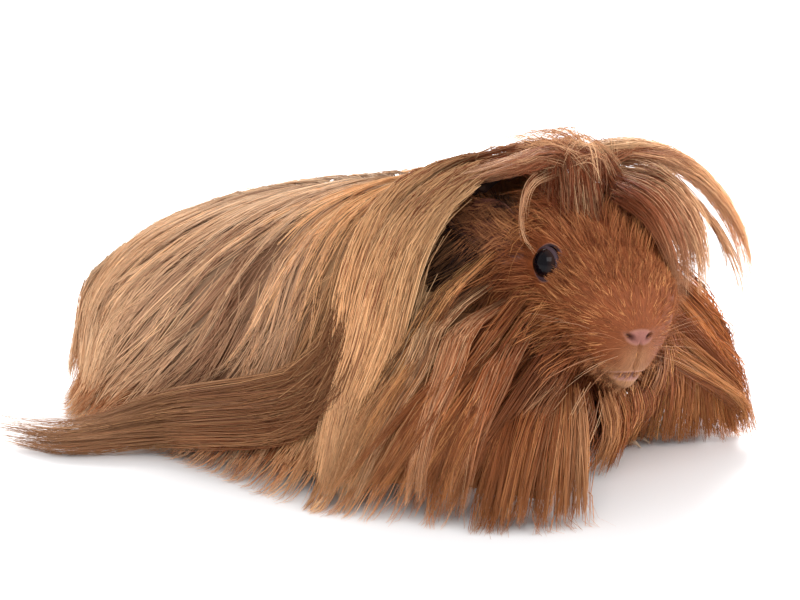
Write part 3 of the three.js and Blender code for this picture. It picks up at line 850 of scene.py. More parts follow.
# %% [markdown]
# Each claw is a curved, tapered sliver of horn ahead of its toe: four on each front foot and three on each
# hind foot.
# %% Claws
claws = []
for name, foot in FEET.items():
    for i in range(foot["toe_count"]):
        start, ahead = toe(foot, i)
        root = start + (TOE_LONG - 0.8) * ahead
        path = [root + (0, 0, 2.4), root + 2.2 * ahead + (0, 0, 2.8), root + 5.2 * ahead + (0, 0, 1.0)]
        claws.append(tube(f"claw_{name}_{i}", path, [(1.0, 0.85, 0.15)] * 2, count=10, steps=8))
print(len(claws), "claws made")
claws = finish_piece(join("claws", claws), claw_material())
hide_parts(*(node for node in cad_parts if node.startswith("claw_")))

# %% [markdown]
# Hair is combed, so the lie of the coat is drawn with strokes, as a groomer's brush would pass. Each stroke
# is a short path over the curtain, and every point of the curtain takes its direction from the strokes near
# it. The rump's hair sweeps back, the mane's arches back from the crown and then falls, and the cheek's
# runs back and down before it falls to the floor.
# %% Comb strokes
BACK_STROKES = [
    [(-149, 0.14), (-168, 0.29), (-184, 0.42), (-199, 0.59), (-204, 0.89)],
    [(-122, 0.17), (-138, 0.34), (-163, 0.53), (-185, 0.80)],
    [(-134, 0.24), (-160, 0.51), (-188, 0.82), (-192, 0.96)],
    [(-124, 0.28), (-136, 0.47), (-156, 0.66), (-174, 0.84)],
    [(-113, 0.28), (-116, 0.46), (-126, 0.60), (-140, 0.85)],
    [(-103, 0.29), (-104, 0.46), (-110, 0.58), (-118, 0.85)],
    [(-94, 0.29), (-94, 0.44), (-98, 0.55), (-100, 0.90)],
    [(-190, 0.05), (-205, 0.25), (-216, 0.60), (-218, 0.95)],
    [(-215, 0.05), (-221, 0.40), (-222, 0.95)],
]
COMB = {
    -1: BACK_STROKES
    + [
        [(-50, 0.01), (-66, 0.03), (-81, 0.12), (-85, 0.37), (-89, 0.51), (-90, 0.67), (-90, 0.82),
         (-91, 0.92)],
        [(-52, 0.10), (-68, 0.18), (-70, 0.33), (-74, 0.47), (-80, 0.60), (-80, 0.78), (-76, 0.93),
         (-75, 0.99)],
        [(-53, 0.24), (-58, 0.34), (-61, 0.49), (-69, 0.57), (-76, 0.72), (-76, 0.88), (-75, 0.98)],
        [(-26, 0.38), (-40, 0.51), (-54, 0.60), (-62, 0.74), (-64, 0.87), (-66, 0.96)],
        [(-22, 0.41), (-37, 0.54), (-46, 0.68), (-49, 0.81), (-48, 0.95)],
        [(-16, 0.43), (-28, 0.56), (-38, 0.71), (-42, 0.85), (-39, 0.96)],
        [(-10, 0.46), (-20, 0.61), (-26, 0.76), (-26, 0.87), (-22, 0.98)],
        [(-5, 0.51), (-9, 0.69), (-8, 0.83), (-4, 0.96)],
        [(-2, 0.51), (-3, 0.69), (-1, 0.84), (2, 0.96)],
    ],
    1: BACK_STROKES
    + [
        [(-50, 0.02), (-66, 0.10), (-76, 0.30), (-80, 0.60), (-80, 0.95)],
        [(-40, 0.10), (-52, 0.30), (-58, 0.60), (-58, 0.95)],
        [(-26, 0.30), (-34, 0.50), (-36, 0.75), (-34, 0.96)],
        [(-12, 0.40), (-18, 0.60), (-18, 0.80), (-14, 0.97)],
        [(0, 0.45), (-2, 0.70), (2, 0.96)],
    ],
}


class Combed:
    """A surface given by a grid of points, with the direction in which its hair lies at each."""

    def __init__(self, grid, wrap=False):
        self.grid, self.wrap = grid, wrap
        along = np.gradient(grid, axis=0)
        padded = np.concatenate([grid[:, -1:], grid, grid[:, :1]], 1) if wrap else grid
        around = np.gradient(padded, axis=1)
        around = around[:, 1:-1] if wrap else around
        self.steps = along, around
        self.normal = unit(np.cross(along, around))
        middle = grid.mean((0, 1))
        if ((grid - middle) * self.normal).sum() < 0:
            self.normal = -self.normal

    def comb(self, direction):
        """Sets the lie of the hair, and how far one millimetre along or across it moves on the grid."""
        lie = unit(direction - (direction * self.normal).sum(-1, keepdims=True) * self.normal)
        across = np.cross(self.normal, lie)
        along, around = self.steps
        aa, ab, bb = (along**2).sum(-1), (along * around).sum(-1), (around**2).sum(-1)
        spread = np.maximum(aa * bb - ab**2, 1e-4)
        rates = []
        for way in (lie, across):
            wa, wb = (along * way).sum(-1), (around * way).sum(-1)
            rates.append(np.stack([(wa * bb - wb * ab) / spread, (wb * aa - wa * ab) / spread], -1))
        self.rate = np.clip(np.concatenate(rates, -1), -6, 6)
        self.lie = lie

    def read(self, values, place):
        """Values on the grid, read between its points."""
        rows, columns = self.grid.shape[:2]
        u = np.clip(place[..., 0], 0, rows - 1.001)
        v = place[..., 1] % columns if self.wrap else np.clip(place[..., 1], 0, columns - 1.001)
        i, j = u.astype(int), v.astype(int)
        fu, fv = (u - i)[..., None], (v - j)[..., None]
        k = (j + 1) % columns
        top = values[i, j] * (1 - fv) + values[i, k] * fv
        return top * (1 - fu) + (values[i + 1, j] * (1 - fv) + values[i + 1, k] * fv) * fu

    def points(self, place, lift):
        """Points at that height over the grid's surface."""
        return self.read(self.grid, place) + self.read(self.normal, place) * lift[..., None]

    def trace(self, place, lengths, count, turn, sway):
        """Follows the lie of the hair from each place. turn is each path's own angle off it, in radians."""
        here, path = place.copy(), [place.copy()]
        stride = lengths / (count - 1)
        for step in range(count - 1):
            angle = turn + sway[:, 0] * np.sin(sway[:, 1] + step * sway[:, 2])
            rate = self.read(self.rate, here)
            move = np.cos(angle)[:, None] * rate[:, :2] + np.sin(angle)[:, None] * rate[:, 2:]
            here = here + move * stride[:, None]
            path.append(here.copy())
        return np.stack(path, 1)


STATIONS, LEVELS = 237, 111
grid_x, grid_s = np.meshgrid(np.linspace(COAT_REAR, COAT_FRONT, STATIONS), np.linspace(0, 1, LEVELS),
    indexing="ij")


def comb_curtain(side):
    surface = Combed(curtain(grid_x, grid_s, side))
    total = np.zeros(surface.grid.shape)
    down = np.array([-0.25, 0, -1.0])
    for stroke in COMB[side]:
        x, s = np.array(stroke, float).T
        fine = np.linspace(0, len(x) - 1, 4 * len(x))
        path = curtain(np.interp(fine, np.arange(len(x)), x), np.interp(fine, np.arange(len(x)), s), side)
        middle, way = (path[1:] + path[:-1]) / 2, unit(path[1:] - path[:-1])
        for point, direction in zip(middle, way):
            near = ((surface.grid - point) ** 2).sum(-1, keepdims=True)
            total += direction / (near + 60) ** 2 * 1e4
    surface.comb(total + down * 0.05)
    return surface


curtains = {side: comb_curtain(side) for side in SIDES}
print("curtains combed with", sum(len(strokes) for strokes in COMB.values()), "strokes")

# %% [markdown]
# Hair is never evenly spread. Strands gather in locks, which is what gives a long coat its folds and dark
# gaps. So a few hundred leading paths are traced over each curtain, and the
# strands of a lock follow their leader, closing on it towards the tip. The strands at a lock's middle lie
# highest, so that each lock is rounded. Every strand starts at the skin, below the curtain's outer shape.
# %% Strands that follow leaders
WHOLE_TURN = 6.3  # radians, a little over two pi, so that a wave can start anywhere


class Strands:
    """Paths of hair, with their thickness, their tone from -1 to 1 and where on the skin they grow."""

    def __init__(self, paths, width, tone, roots=None):
        self.paths, self.tone = paths, tone
        self.width = np.broadcast_to(width, paths.shape[:2]).copy()
        self.roots = paths[:, 0] if roots is None else roots

    def keep(self, chosen):
        return Strands(self.paths[chosen], self.width[chosen], self.tone[chosen], self.roots[chosen])

    @staticmethod
    def together(*groups):
        fields = zip(*((g.paths, g.width, g.tone, g.roots) for g in groups))
        return Strands(*(np.concatenate(field) for field in fields))


def taper(count, width, root=0.75, tip=0.22):
    """A strand's half thickness along its length."""
    t = np.linspace(0, 1, count)
    return width * (root + (1 - root) * smooth(0, 0.25, t)) * (tip + (1 - tip) * (1 - smooth(0.55, 1.0, t)))


def scatter(surface, density, low_share, high_share, rows=(0, 1)):
    """Places on a surface, spread evenly by area: density is the number for each square centimetre."""
    along, around = surface.steps
    area = np.linalg.norm(np.cross(along, around), axis=-1)
    share = np.linspace(0, 1, area.shape[1])[None, :]
    row = np.linspace(0, 1, area.shape[0])[:, None]
    area = area * (share >= low_share) * (share <= high_share) * (row >= rows[0]) * (row <= rows[1])
    total = int(area.sum() / 100 * density)
    order = np.cumsum(area.ravel())
    picks = (np.arange(total) + random.random(total)) / total * order[-1]
    cells = np.minimum(np.searchsorted(order, picks), area.size - 1)
    i, j = np.unravel_index(cells, area.shape)
    return np.stack([i + random.random(total) - 0.5, j + random.random(total) - 0.5], -1)


def resample(values, at):
    """Values along each path, read at fractions from 0 to 1 of its length. at has one row for each path."""
    whole = np.clip(at, 0, 1) * (values.shape[1] - 1)
    i = np.minimum(whole.astype(int), values.shape[1] - 2)
    f = (whole - i)[..., None]
    rows = np.arange(len(values))[:, None]
    return values[rows, i] * (1 - f) + values[rows, i + 1] * f


def floor_share(place, limit):
    """How far along its path each strand comes before it passes that level of the grid."""
    level = place[..., 1]
    over = level >= limit[:, None]
    k = np.where(over.any(1), over.argmax(1), 0)
    rows = np.arange(len(place))
    before = level[rows, np.maximum(k - 1, 0)]
    part = (limit - before) / np.maximum(level[rows, k] - before, 1e-3)
    return np.where(k > 0, (k - 1 + np.clip(part, 0, 1)) / (place.shape[1] - 1), 1.0)


def lock_strands(surface, leaders, members, radius, lengths, depth, half_width, count=8, close=0.75,
                 relief=1.6, stand=0.0, start=0.3, tones=(0.4, 0.3), wander=0.09):
    """Locks over a surface: leading paths, with strands that close on them and stop at the floor."""
    total = len(leaders)
    sway = np.stack([random.normal(0, 0.10, total), random.random(total) * WHOLE_TURN,
        random.uniform(0.5, 1.1, total)], -1)
    lead = surface.trace(leaders, lengths, count + 3, random.normal(0, wander, total), sway)
    lead_tone = random.normal(0, tones[0], total)
    which = np.repeat(np.arange(total), members)
    angle, share = random.random(len(which)) * 2 * np.pi, np.sqrt(random.random(len(which)))
    rate = surface.read(surface.rate, leaders)[which]
    beside = np.cos(angle)[:, None] * rate[:, :2] + np.sin(angle)[:, None] * rate[:, 2:]
    offset = radius * share[:, None] * beside
    t = np.linspace(0, 1, count + 3)
    closing = 1 - close * smooth(0.05, 1.0, t)
    pace, phase = random.uniform(2, 6, len(which)), random.random(len(which))[:, None] * WHOLE_TURN
    wave = 0.35 * np.sin(np.outer(pace, t) + phase)
    across = rate[:, None, 2:] * wave[..., None] * t[None, :, None]
    place = lead[which] + offset[:, None] * closing[None, :, None] + across
    if not surface.wrap:
        place[..., 1] = np.abs(place[..., 1])
    floor_level = surface.grid.shape[1] - 1
    last = floor_share(place, floor_level + random.uniform(-3.0, 4.0, len(which)))
    begin = random.random(len(which)) * start * last
    place = resample(place, begin[:, None] + (last - begin)[:, None] * np.linspace(0, 1, count))
    t = np.linspace(0, 1, count)
    rise = smooth(0, 0.13, t)
    top = -(0.2 + relief * share**2 + random.random(len(which)) * 0.75 * relief)[:, None]
    top = top + stand * lengths[which, None] * random.uniform(0.3, 1.5, (len(which), 1)) * t**1.2
    lift = -depth * (1 - rise)[None, :] + top * rise[None, :]
    spill = 0 * place[..., 1] if surface.wrap else np.maximum(place[..., 1] - floor_level, 0)
    paths = surface.points(place, lift)
    outward = surface.read(surface.normal, place) * np.array([1, 1, 0])
    paths = paths + unit(outward) * np.minimum(spill, 5)[..., None]
    low = half_width + 0.15 + 0.8 * random.random(len(which))[:, None] * (spill > 0)
    paths[..., 2] = np.maximum(paths[..., 2], low)
    tone = np.clip(lead_tone[which] + random.normal(0, tones[1], len(which)), -1.5, 1.5)
    width = taper(count, half_width) * random.uniform(0.75, 1.2, len(which))[:, None]
    roots = surface.points(place[:, :1], np.full((len(which), 1), -depth))[:, 0]
    return Strands(paths, width, tone, roots)


print("strand tools ready")

# %% [markdown]
# A strand is a solid: a three-sided sliver swept along its path, thick at the root and fine at the tip. One
# Geometry Nodes tree does this for every strand of the coat. It takes a mesh of bare edges, reads each
# point's thickness, sweeps the profile and gives the result its material. The result becomes a plain mesh,
# and its points keep the colour, the tone and the place along the strand that the material reads.
# %% The sweeping tree
def sweep_tree():
    tree = bpy.data.node_groups.new("sweep strands", "GeometryNodeTree")
    face = tree.interface
    face.new_socket("Geometry", in_out="INPUT", socket_type="NodeSocketGeometry")
    face.new_socket("Sides", in_out="INPUT", socket_type="NodeSocketInt").default_value = 3
    face.new_socket("Thickness", in_out="INPUT", socket_type="NodeSocketFloat").default_value = 1.0
    face.new_socket("Material", in_out="INPUT", socket_type="NodeSocketMaterial")
    face.new_socket("Geometry", in_out="OUTPUT", socket_type="NodeSocketGeometry")

    def add(kind, **settings):
        node = tree.nodes.new(kind)
        for key, value in settings.items():
            setattr(node, key, value)
        return node

    def link(a, output, b, socket):
        tree.links.new(a.outputs[output], b.inputs[socket])

    start, end = add("NodeGroupInput"), add("NodeGroupOutput")
    curves, ring = add("GeometryNodeMeshToCurve"), add("GeometryNodeCurvePrimitiveCircle", mode="RADIUS")
    ring.inputs["Radius"].default_value = 1.0
    half = add("GeometryNodeInputNamedAttribute", data_type="FLOAT")
    half.inputs["Name"].default_value = "half"
    scaled = add("ShaderNodeMath", operation="MULTIPLY")
    sweep, real = add("GeometryNodeCurveToMesh"), add("GeometryNodeRealizeInstances")
    paint = add("GeometryNodeSetMaterial")
    sweep.inputs["Fill Caps"].default_value = True
    link(start, "Geometry", curves, "Mesh")
    link(start, "Sides", ring, "Resolution")
    link(half, "Attribute", scaled, 0)
    link(start, "Thickness", scaled, 1)
    link(curves, "Curve", sweep, "Curve")
    link(ring, "Curve", sweep, "Profile Curve")
    link(scaled, "Value", sweep, "Scale")
    link(sweep, "Mesh", real, "Geometry")
    link(real, "Geometry", paint, "Geometry")
    link(start, "Material", paint, "Material")
    link(paint, "Geometry", end, "Geometry")
    return tree


SWEEP = sweep_tree()
SOCKETS = {item.name: item.identifier for item in SWEEP.interface.items_tree if item.in_out == "INPUT"}
print("sweeping tree has", len(SWEEP.nodes), "nodes")

# %% [markdown]
# A coat piece carries a map named OFBake, which says where on an unwrap of the skin each strand grows. The
# skin's own unwrap is that of a tube: along the body by x and around it by the angle, with the head on an
# island of its own, along and around the head's own axis. Each strand fills a patch 0.003 wide there.
# %% From strands to a plain mesh
PATCH = 0.003


def unwrap(roots):
    local = to_head(roots)
    on_head = local[:, 0] > -30
    around_head = np.arctan2(local[:, 1], local[:, 2] + 2) / (2 * np.pi) + 0.5
    along_head = (local[:, 0] + 40) / 84
    around_body = np.arctan2(roots[:, 1], roots[:, 2] - 42) / (2 * np.pi) + 0.5
    along_body = (roots[:, 0] + 232) / 250
    head = np.stack([0.02 + 0.45 * np.clip(along_head, 0, 1), 0.02 + 0.94 * around_head], -1)
    body = np.stack([0.52 + 0.45 * np.clip(along_body, 0, 1), 0.02 + 0.94 * around_body], -1)
    return np.where(on_head[:, None], head, body)


def sweep_strands(name, strands, material, sides=3):
    total, count = strands.paths.shape[:2]
    mesh = bpy.data.meshes.new(name)
    mesh.vertices.add(total * count)
    mesh.vertices.foreach_set("co", metres(strands.paths.reshape(-1, 3)).astype(np.float32).ravel())
    first = (np.arange(total)[:, None] * count + np.arange(count - 1)[None, :]).ravel()
    mesh.edges.add(len(first))
    mesh.edges.foreach_set("vertices", np.stack([first, first + 1], -1).astype(np.int32).ravel())
    attach_points(mesh, "half", strands.width / 1000)
    attach_points(mesh, "tone", np.repeat(strands.tone, count))
    attach_points(mesh, "along", np.tile(np.linspace(0, 1, count), total))
    attach_points(mesh, "marking", np.repeat(marking(strands.roots), count, 0), "FLOAT_COLOR")
    place = np.concatenate([unwrap(strands.roots), np.zeros((total, 1))], -1)
    attach_points(mesh, "root_place", np.repeat(place, count, 0), "FLOAT_VECTOR")
    lines = put_in_scene(name + "_lines", mesh)
    modifier = lines.modifiers.new("sweep", "NODES")
    modifier.node_group = SWEEP
    modifier[SOCKETS["Sides"]] = sides
    modifier[SOCKETS["Material"]] = material
    made = bpy.data.meshes.new_from_object(lines.evaluated_get(bpy.context.evaluated_depsgraph_get()))
    bpy.data.objects.remove(lines)
    lay_out(made, sides, count)
    made.name = name
    return put_in_scene(name, made)


def lay_out(mesh, sides, count):
    """Writes OFBake: each corner lies in its strand's patch, by its side and its place along the strand."""
    where = np.empty(len(mesh.vertices) * 3, np.float32)
    mesh.attributes["root_place"].data.foreach_get("vector", where)
    along = np.empty(len(mesh.vertices), np.float32)
    mesh.attributes["along"].data.foreach_get("value", along)
    corner = np.empty(len(mesh.loops), np.int32)
    mesh.loops.foreach_get("vertex_index", corner)
    side = (np.arange(len(mesh.vertices)) % sides) / (sides - 1)
    local = np.stack([side, along], -1)
    spots = where.reshape(-1, 3)[:, :2] + PATCH * (local - 0.5)
    bake = mesh.uv_layers.new(name="OFBake")
    bake.data.foreach_set("uv", np.ascontiguousarray(spots[corner], np.float32).ravel())
    mesh.attributes.remove(mesh.attributes["root_place"])


print("sweeper ready")

# %% [markdown]
# Below the long strands lies an undercoat, a soft layer that fills the space between strands and skin. Its
# colour is the markings darkened, painted shade for the gaps between the locks. It has the curtain's shape, a
# few millimetres in, and its streaks must follow the lie of the hair. So each of its points is traced back up
# the lie to the parting, and where it arrives is the streak it belongs to.
# %% Undercoat
HOLLOWS = [
    ((24, -4, 0), (60, 50, 40)),  # under the chin
    ((3, -10, 78), (54, 78, 40)),  # before the face
    ((-22, -50, 84), (38, 42, 27)),  # before the right ear
]


def in_hollow(points, grow=0.0):
    inside = np.zeros(points.shape[:-1], bool)
    for centre, size in HOLLOWS:
        away = (points - np.array(centre)) / (np.array(size) + grow)
        inside |= (away**2).sum(-1) < 1
    return inside


def streaks_of(surface, place):
    back = surface.trace(place, np.full(len(place), -150.0), 40, np.zeros(len(place)),
        np.zeros((len(place), 3)))
    passed = back[..., 1] <= 0.5
    k = np.where(passed.any(1), passed.argmax(1), back.shape[1] - 1)
    source = back[np.arange(len(place)), k]
    return np.stack([source[:, 0] + 0.8 * source[:, 1], k * 0.12, 0 * k], -1)


def undercoat(side):
    surface = curtains[side]
    rows, columns = np.arange(6, STATIONS - 18, 2), np.arange(0, int(LEVELS * 0.94), 2)
    u, v = (a.ravel().astype(float) for a in np.meshgrid(rows, columns, indexing="ij"))
    place = np.stack([u, v], -1)
    layers = []
    deep = 8.0 * smooth(-66, -46, surface.points(place, np.zeros(len(place)))[:, 0])
    for inset in (2.8, 5.0):
        points = surface.points(place, (-inset - deep) * smooth(0.75, 0.5, v / LEVELS))
        points[:, 1] -= side * (inset + deep) * smooth(0.45, 0.75, v / LEVELS)
        points[:, 2] = np.maximum(points[:, 2], 4.0)
        points[:, 1] = side * np.maximum(points[:, 1] * side, 0.3)
        layers.append(points)
    index = np.arange(len(place)).reshape(len(rows), len(columns))
    quads = np.stack([index[:-1, :-1], index[1:, :-1], index[1:, 1:], index[:-1, 1:]], -1).reshape(-1, 4)
    quads = quads[~in_hollow(layers[0][quads].mean(1), 9)]
    if side < 0:
        quads = quads[:, ::-1]
    edges = np.concatenate([quads[:, [i, (i + 1) % 4]] for i in range(4)])
    ways = set(map(tuple, edges.tolist()))
    rim = np.array([edge for edge in edges.tolist() if (edge[1], edge[0]) not in ways])
    n = len(place)
    grid_uv = np.stack([0.02 + 0.45 * u / STATIONS, 0.02 + 0.96 * v / LEVELS], -1)
    sides = np.stack([rim[:, 1], rim[:, 0], rim[:, 0] + n, rim[:, 1] + n], -1)
    faces = np.concatenate([quads, quads[:, ::-1] + n, sides])
    used = np.unique(faces)
    number = np.full(2 * n, -1)
    number[used] = np.arange(len(used))
    points = np.concatenate(layers)[used]
    mesh = bpy.data.meshes.new("undercoat_" + SIDES[side])
    mesh.from_pydata(metres(points).tolist(), [], number[faces].tolist())
    attach_points(mesh, "marking", marking(points), "FLOAT_COLOR")
    corner = np.empty(len(mesh.loops), np.int32)
    mesh.loops.foreach_get("vertex_index", corner)
    spots = np.concatenate([grid_uv, grid_uv + (0.5, 0)])[used][corner]
    bake = mesh.uv_layers.new(name="OFBake")
    bake.data.foreach_set("uv", spots.astype(np.float32).ravel())
    attach_points(mesh, "streak", np.tile(streaks_of(surface, place), (2, 1))[used], "FLOAT_VECTOR")
    made = put_in_scene("undercoat_" + SIDES[side], mesh)
    finish_piece(made, PAINTED_SHADE_UNDERCOAT)
    return len(faces)


PAINTED_SHADE_UNDERCOAT = painted_shade_undercoat_material()
print("undercoat has", sum(undercoat(side) for side in SIDES), "faces")

# %% [markdown]
# The long curtain is grown in one piece for each panel of the solid coat: rump, flank, mane and cheek,
# right and left. Hair that would start in the hollows before the face, under the chin or before the right
# ear isn't grown there. A few fine strands stand off the rest, as they do on any long coat.
# %% The long curtain
PANEL_ENDS = [("rump", -230, -187), ("flank", -187, -96), ("mane", -96, -51), ("cheek", -51, 20)]
coat_groups = {}


def sort_into_panels(strands, side):
    """Shares strands out to the panel of the solid coat that they grow from."""
    x = strands.roots[:, 0]
    for name, start, end in PANEL_ENDS:
        part = strands.keep((x >= start) & (x < end))
        if len(part.paths):
            coat_groups.setdefault(f"coat_{name}_{SIDES[side]}", []).append(part)


for side in SIDES:
    surface = curtains[side]
    for density, members, radius, reach, half, relief, top in (
        (1.1, 12, 4.0, (62, 100), 0.2, 1.5, 0.55),
        (1.6, 4, 2.2, (30, 62), 0.155, 0.8, 0.86),
    ):
        leaders = scatter(surface, density, 0.0, top)
        leaders = leaders[~in_hollow(surface.points(leaders, np.zeros(len(leaders))), -2)]
        long = random.uniform(*reach, len(leaders))
        grown = lock_strands(surface, leaders, members, radius, long, 4.0, half, relief=relief)
        corner = (side > 0) & (grown.paths[:, -1, 0] > 4)
        sort_into_panels(grown.keep(~in_hollow(grown.paths[:, 4], -2) & ~corner), side)
    leaders = scatter(surface, 5.0, 0.0, 0.08, (0.0, 0.8))
    parted = lock_strands(surface, leaders, 5, 2.0, random.uniform(34, 60, len(leaders)), 1.5, 0.17,
        relief=0.8, start=0.05)
    sort_into_panels(parted, side)
    low = scatter(surface, 2.2, 0.68, 0.88, (0.05, 0.62))
    fringe = lock_strands(surface, low, 5, 2.5, random.uniform(20, 34, len(low)), 3.0, 0.15,
        relief=1.0, stand=0.1, wander=0.2)
    sort_into_panels(fringe, side)
    stray = scatter(surface, 0.7, 0.0, 0.9)
    stray = stray[~in_hollow(surface.points(stray, np.zeros(len(stray))))]
    loose = lock_strands(surface, stray, 2, 2.0, random.uniform(20, 48, len(stray)), 2.0, 0.08,
        relief=0.1, stand=0.07, close=0.2, wander=0.3)
    sort_into_panels(loose, side)
print("curtain has", sum(len(part.paths) for parts in coat_groups.values() for part in parts), "strands")

# %% [markdown]
# The head's fur is short and lies flat, and it all points away from the nose: back over the forehead, out
# over the cheeks and down under the chin. Its length grows from 2 mm at the lips to about 12 mm on the
# forehead. It is grown in tufts of a few strands, the smallest at the nose.
# %% Short fur on the head
NOSE_AT = np.array([41, 0, -10])
shares, turns = np.linspace(0.02, 0.985, 120), np.linspace(0, 2 * np.pi, 120, endpoint=False)
head_share, head_turn = np.meshgrid(shares, turns, indexing="ij")
head_local = head_surface(head_share, head_turn)
head_grid = Combed(from_head(head_local), wrap=True)
away = unit(head_local - NOSE_AT)
sag = smooth(18, -22, head_local[..., 0]) * smooth(16, -12, head_local[..., 2])
away = away + sag[..., None] * np.array([0, 0, -0.9])
head_grid.comb(away @ TURN.T)


def on_bare_skin(local):
    nose = np.linalg.norm((local - (39.2, 0, -9.6)) / (2.8, 4.4, 1.9), axis=1) < 1
    lips = (np.abs(local[:, 2] + 22.8) < 1.0) & (local[:, 0] > 30) & (np.abs(local[:, 1]) < 5.5)
    return nose | lips | (eye_distance(local) < EYE_R + 0.7)


def fur_length(local):
    away = np.linalg.norm(local - NOSE_AT, axis=1)
    length = profile((3, 1.8), (8, 3.2), (14, 4.8), (26, 6.4), (42, 8.5), (58, 12), (80, 15))(away)
    return length * (0.4 + 0.6 * smooth(5.5, 12, eye_distance(local)))


def short_fur(density, members, rows, half, radius):
    tufts = scatter(head_grid, density, 0, 1, rows)
    local = to_head(head_grid.points(tufts, np.zeros(len(tufts))))
    tufts, local = tufts[~on_bare_skin(local)], local[~on_bare_skin(local)]
    length = fur_length(local) * random.uniform(0.75, 1.25, len(tufts))
    grown = lock_strands(head_grid, tufts, members, radius, length, 0.5, half, count=4, close=0.5,
        relief=0.2, stand=0.16, start=0.0, tones=(0.5, 0.35), wander=0.16)
    return grown.keep(~on_bare_skin(to_head(grown.roots)))


muzzle_fur = short_fur(72, 3, (0.62, 1), 0.108, 0.6)
face_fur = short_fur(33, 4, (0.34, 0.62), 0.14, 0.9)
nape_fur = short_fur(14, 4, (0.0, 0.34), 0.17, 1.2)
print("head has", sum(len(g.paths) for g in (muzzle_fur, face_fur, nape_fur)), "short strands")

# %% [markdown]
# The longer hair of the crown, the cheeks and the neck leaves the head and drapes over what is below. It is
# grown step by step: each step leans a little more to the ground, and a point that lands inside the head
# or the curtain is moved back out.
# %% Hair that grows freely
def out_of_head(points, clear=0.6):
    """The points, with those inside the head moved out until they are clear of the skin by so much."""
    local = to_head(points)
    x = local[..., 0]
    a = np.arccos(np.clip(-(x - HEAD_MIDDLE) / HEAD_HALF, -1, 1))
    round_off, level = head_ends(x, a)
    up = local[..., 2] > level
    tall = np.where(up, head_top(x) - head_level(x), head_level(x) - head_bottom(x)) * round_off - FUR + clear
    wide = head_wide(x) * round_off - FUR + clear
    fall = np.where(up, BROW_FALL, head_jaw(x))
    across = np.abs(local[..., 1]) / np.maximum(wide, 1)
    size = np.sqrt(across ** (2 / fall) + ((local[..., 2] - level) / np.maximum(tall, 1)) ** 2)
    inside = (size < 1) & (x > SKULL_BACK) & (x < NOSE_X)
    scale = np.where(inside, 1 / np.maximum(size, 0.3), 1.0)
    local[..., 1] *= scale
    local[..., 2] = level + (local[..., 2] - level) * scale
    return from_head(local)


def out_of_curtain(points, under=1.0):
    """The points, with those just inside the curtain moved sideways to lie so far under its surface."""
    x, y, z = points[..., 0], points[..., 1], points[..., 2]
    out = points.copy()
    for side in SIDES:
        top = coat_top(x)
        waist = top * FLANK_SHARE
        flank, hem = coat_flank[side](x), coat_hem[side](x)
        t = np.clip(z / waist, 0, 1)
        sine = np.clip((z - waist) / np.maximum(top - waist, 1), 0, 1) ** (1 / ARCH_TALL)
        arch, flare = flank * np.sqrt(1 - sine**2) ** ARCH_WIDE, flank + (hem - flank) * (1 - t) ** 2
        edge = np.where(z < waist, flare, arch) - under
        reach = y * side
        caught = (reach < edge) & (reach > edge - 16) & (z < top) & (x < 6) & ~in_hollow(points, -4)
        out[..., 1] = np.where(caught, side * edge, out[..., 1])
    return out


def grow(roots, ways, lengths, half, tone, count=9, droop=0.05, curl=0.06, avoid_curtain=True):
    """Free hair: droop is how much of the ground's pull each millimetre adds."""
    way, here, path = unit(ways), roots.copy(), [roots.copy()]
    stride = (lengths / (count - 1))[:, None]
    bend = random.normal(0, curl, (len(roots), 3))
    for step in range(count - 1):
        way = unit(way + np.array([0, 0, -1]) * droop * stride + bend)
        there = out_of_head(here + way * stride)
        if avoid_curtain:
            there = out_of_curtain(there)
        there[:, 2] = np.maximum(there[:, 2], 0.5)
        way = unit(0.5 * way + 0.5 * unit(there - here))
        here = there
        path.append(here.copy())
    width = taper(count, half) * random.uniform(0.75, 1.2, len(roots))[:, None]
    return Strands(np.stack(path, 1), width, tone, roots)


def gather(strands, spacing, close=0.6):
    """Draws free strands together in locks, each towards the path of the strand chosen as its leader."""
    total = len(strands.paths)
    leaders = random.choice(total, max(total // spacing, 1), replace=False)
    nearest = np.zeros(total, int)
    for start in range(0, total, 2000):
        part = strands.roots[start : start + 2000, None] - strands.roots[None, leaders]
        nearest[start : start + 2000] = leaders[(part**2).sum(-1).argmin(1)]
    t = np.linspace(0, 1, strands.paths.shape[1])[None, :, None]
    amount = close * smooth(0.1, 1.0, t) * random.uniform(0.6, 1.1, total)[:, None, None]
    strands.paths = strands.paths + (strands.paths[nearest] - strands.paths) * np.clip(amount, 0, 0.95)
    strands.tone = 0.5 * strands.tone + 0.5 * random.normal(0, 0.6, total)[nearest]
    return strands


def from_the_head(density, rows, test, length, lean, half=0.15, members=12, **how):
    places = scatter(head_grid, density, 0, 1, rows)
    roots = head_grid.points(places, np.full(len(places), -0.3))
    local = to_head(roots)
    chosen = test(local)
    places, roots, local = places[chosen], roots[chosen], local[chosen]
    lie, out = head_grid.read(head_grid.lie, places), head_grid.read(head_grid.normal, places)
    lengths = length(local) * random.uniform(0.8, 1.2, len(roots))
    ways = lie + out * 0.3 + np.asarray(lean) + random.normal(0, 0.08, lie.shape)
    return gather(grow(roots, ways, lengths, half, random.normal(0, 0.4, len(roots)), **how), members)


def jowl(side):
    return from_the_head(
        66, (0.0, 0.78),
        lambda q: (q[:, 1] * side > 0) & (q[:, 2] < 1 - 0.4 * q[:, 0]) & (q[:, 0] < 22) & (q[:, 2] > -27),
        lambda q: profile((-36, 36), (-10, 28), (8, 17), (20, 9))(q[:, 0]), (-0.1, 0.1 * side, -0.25),
        droop=0.045)


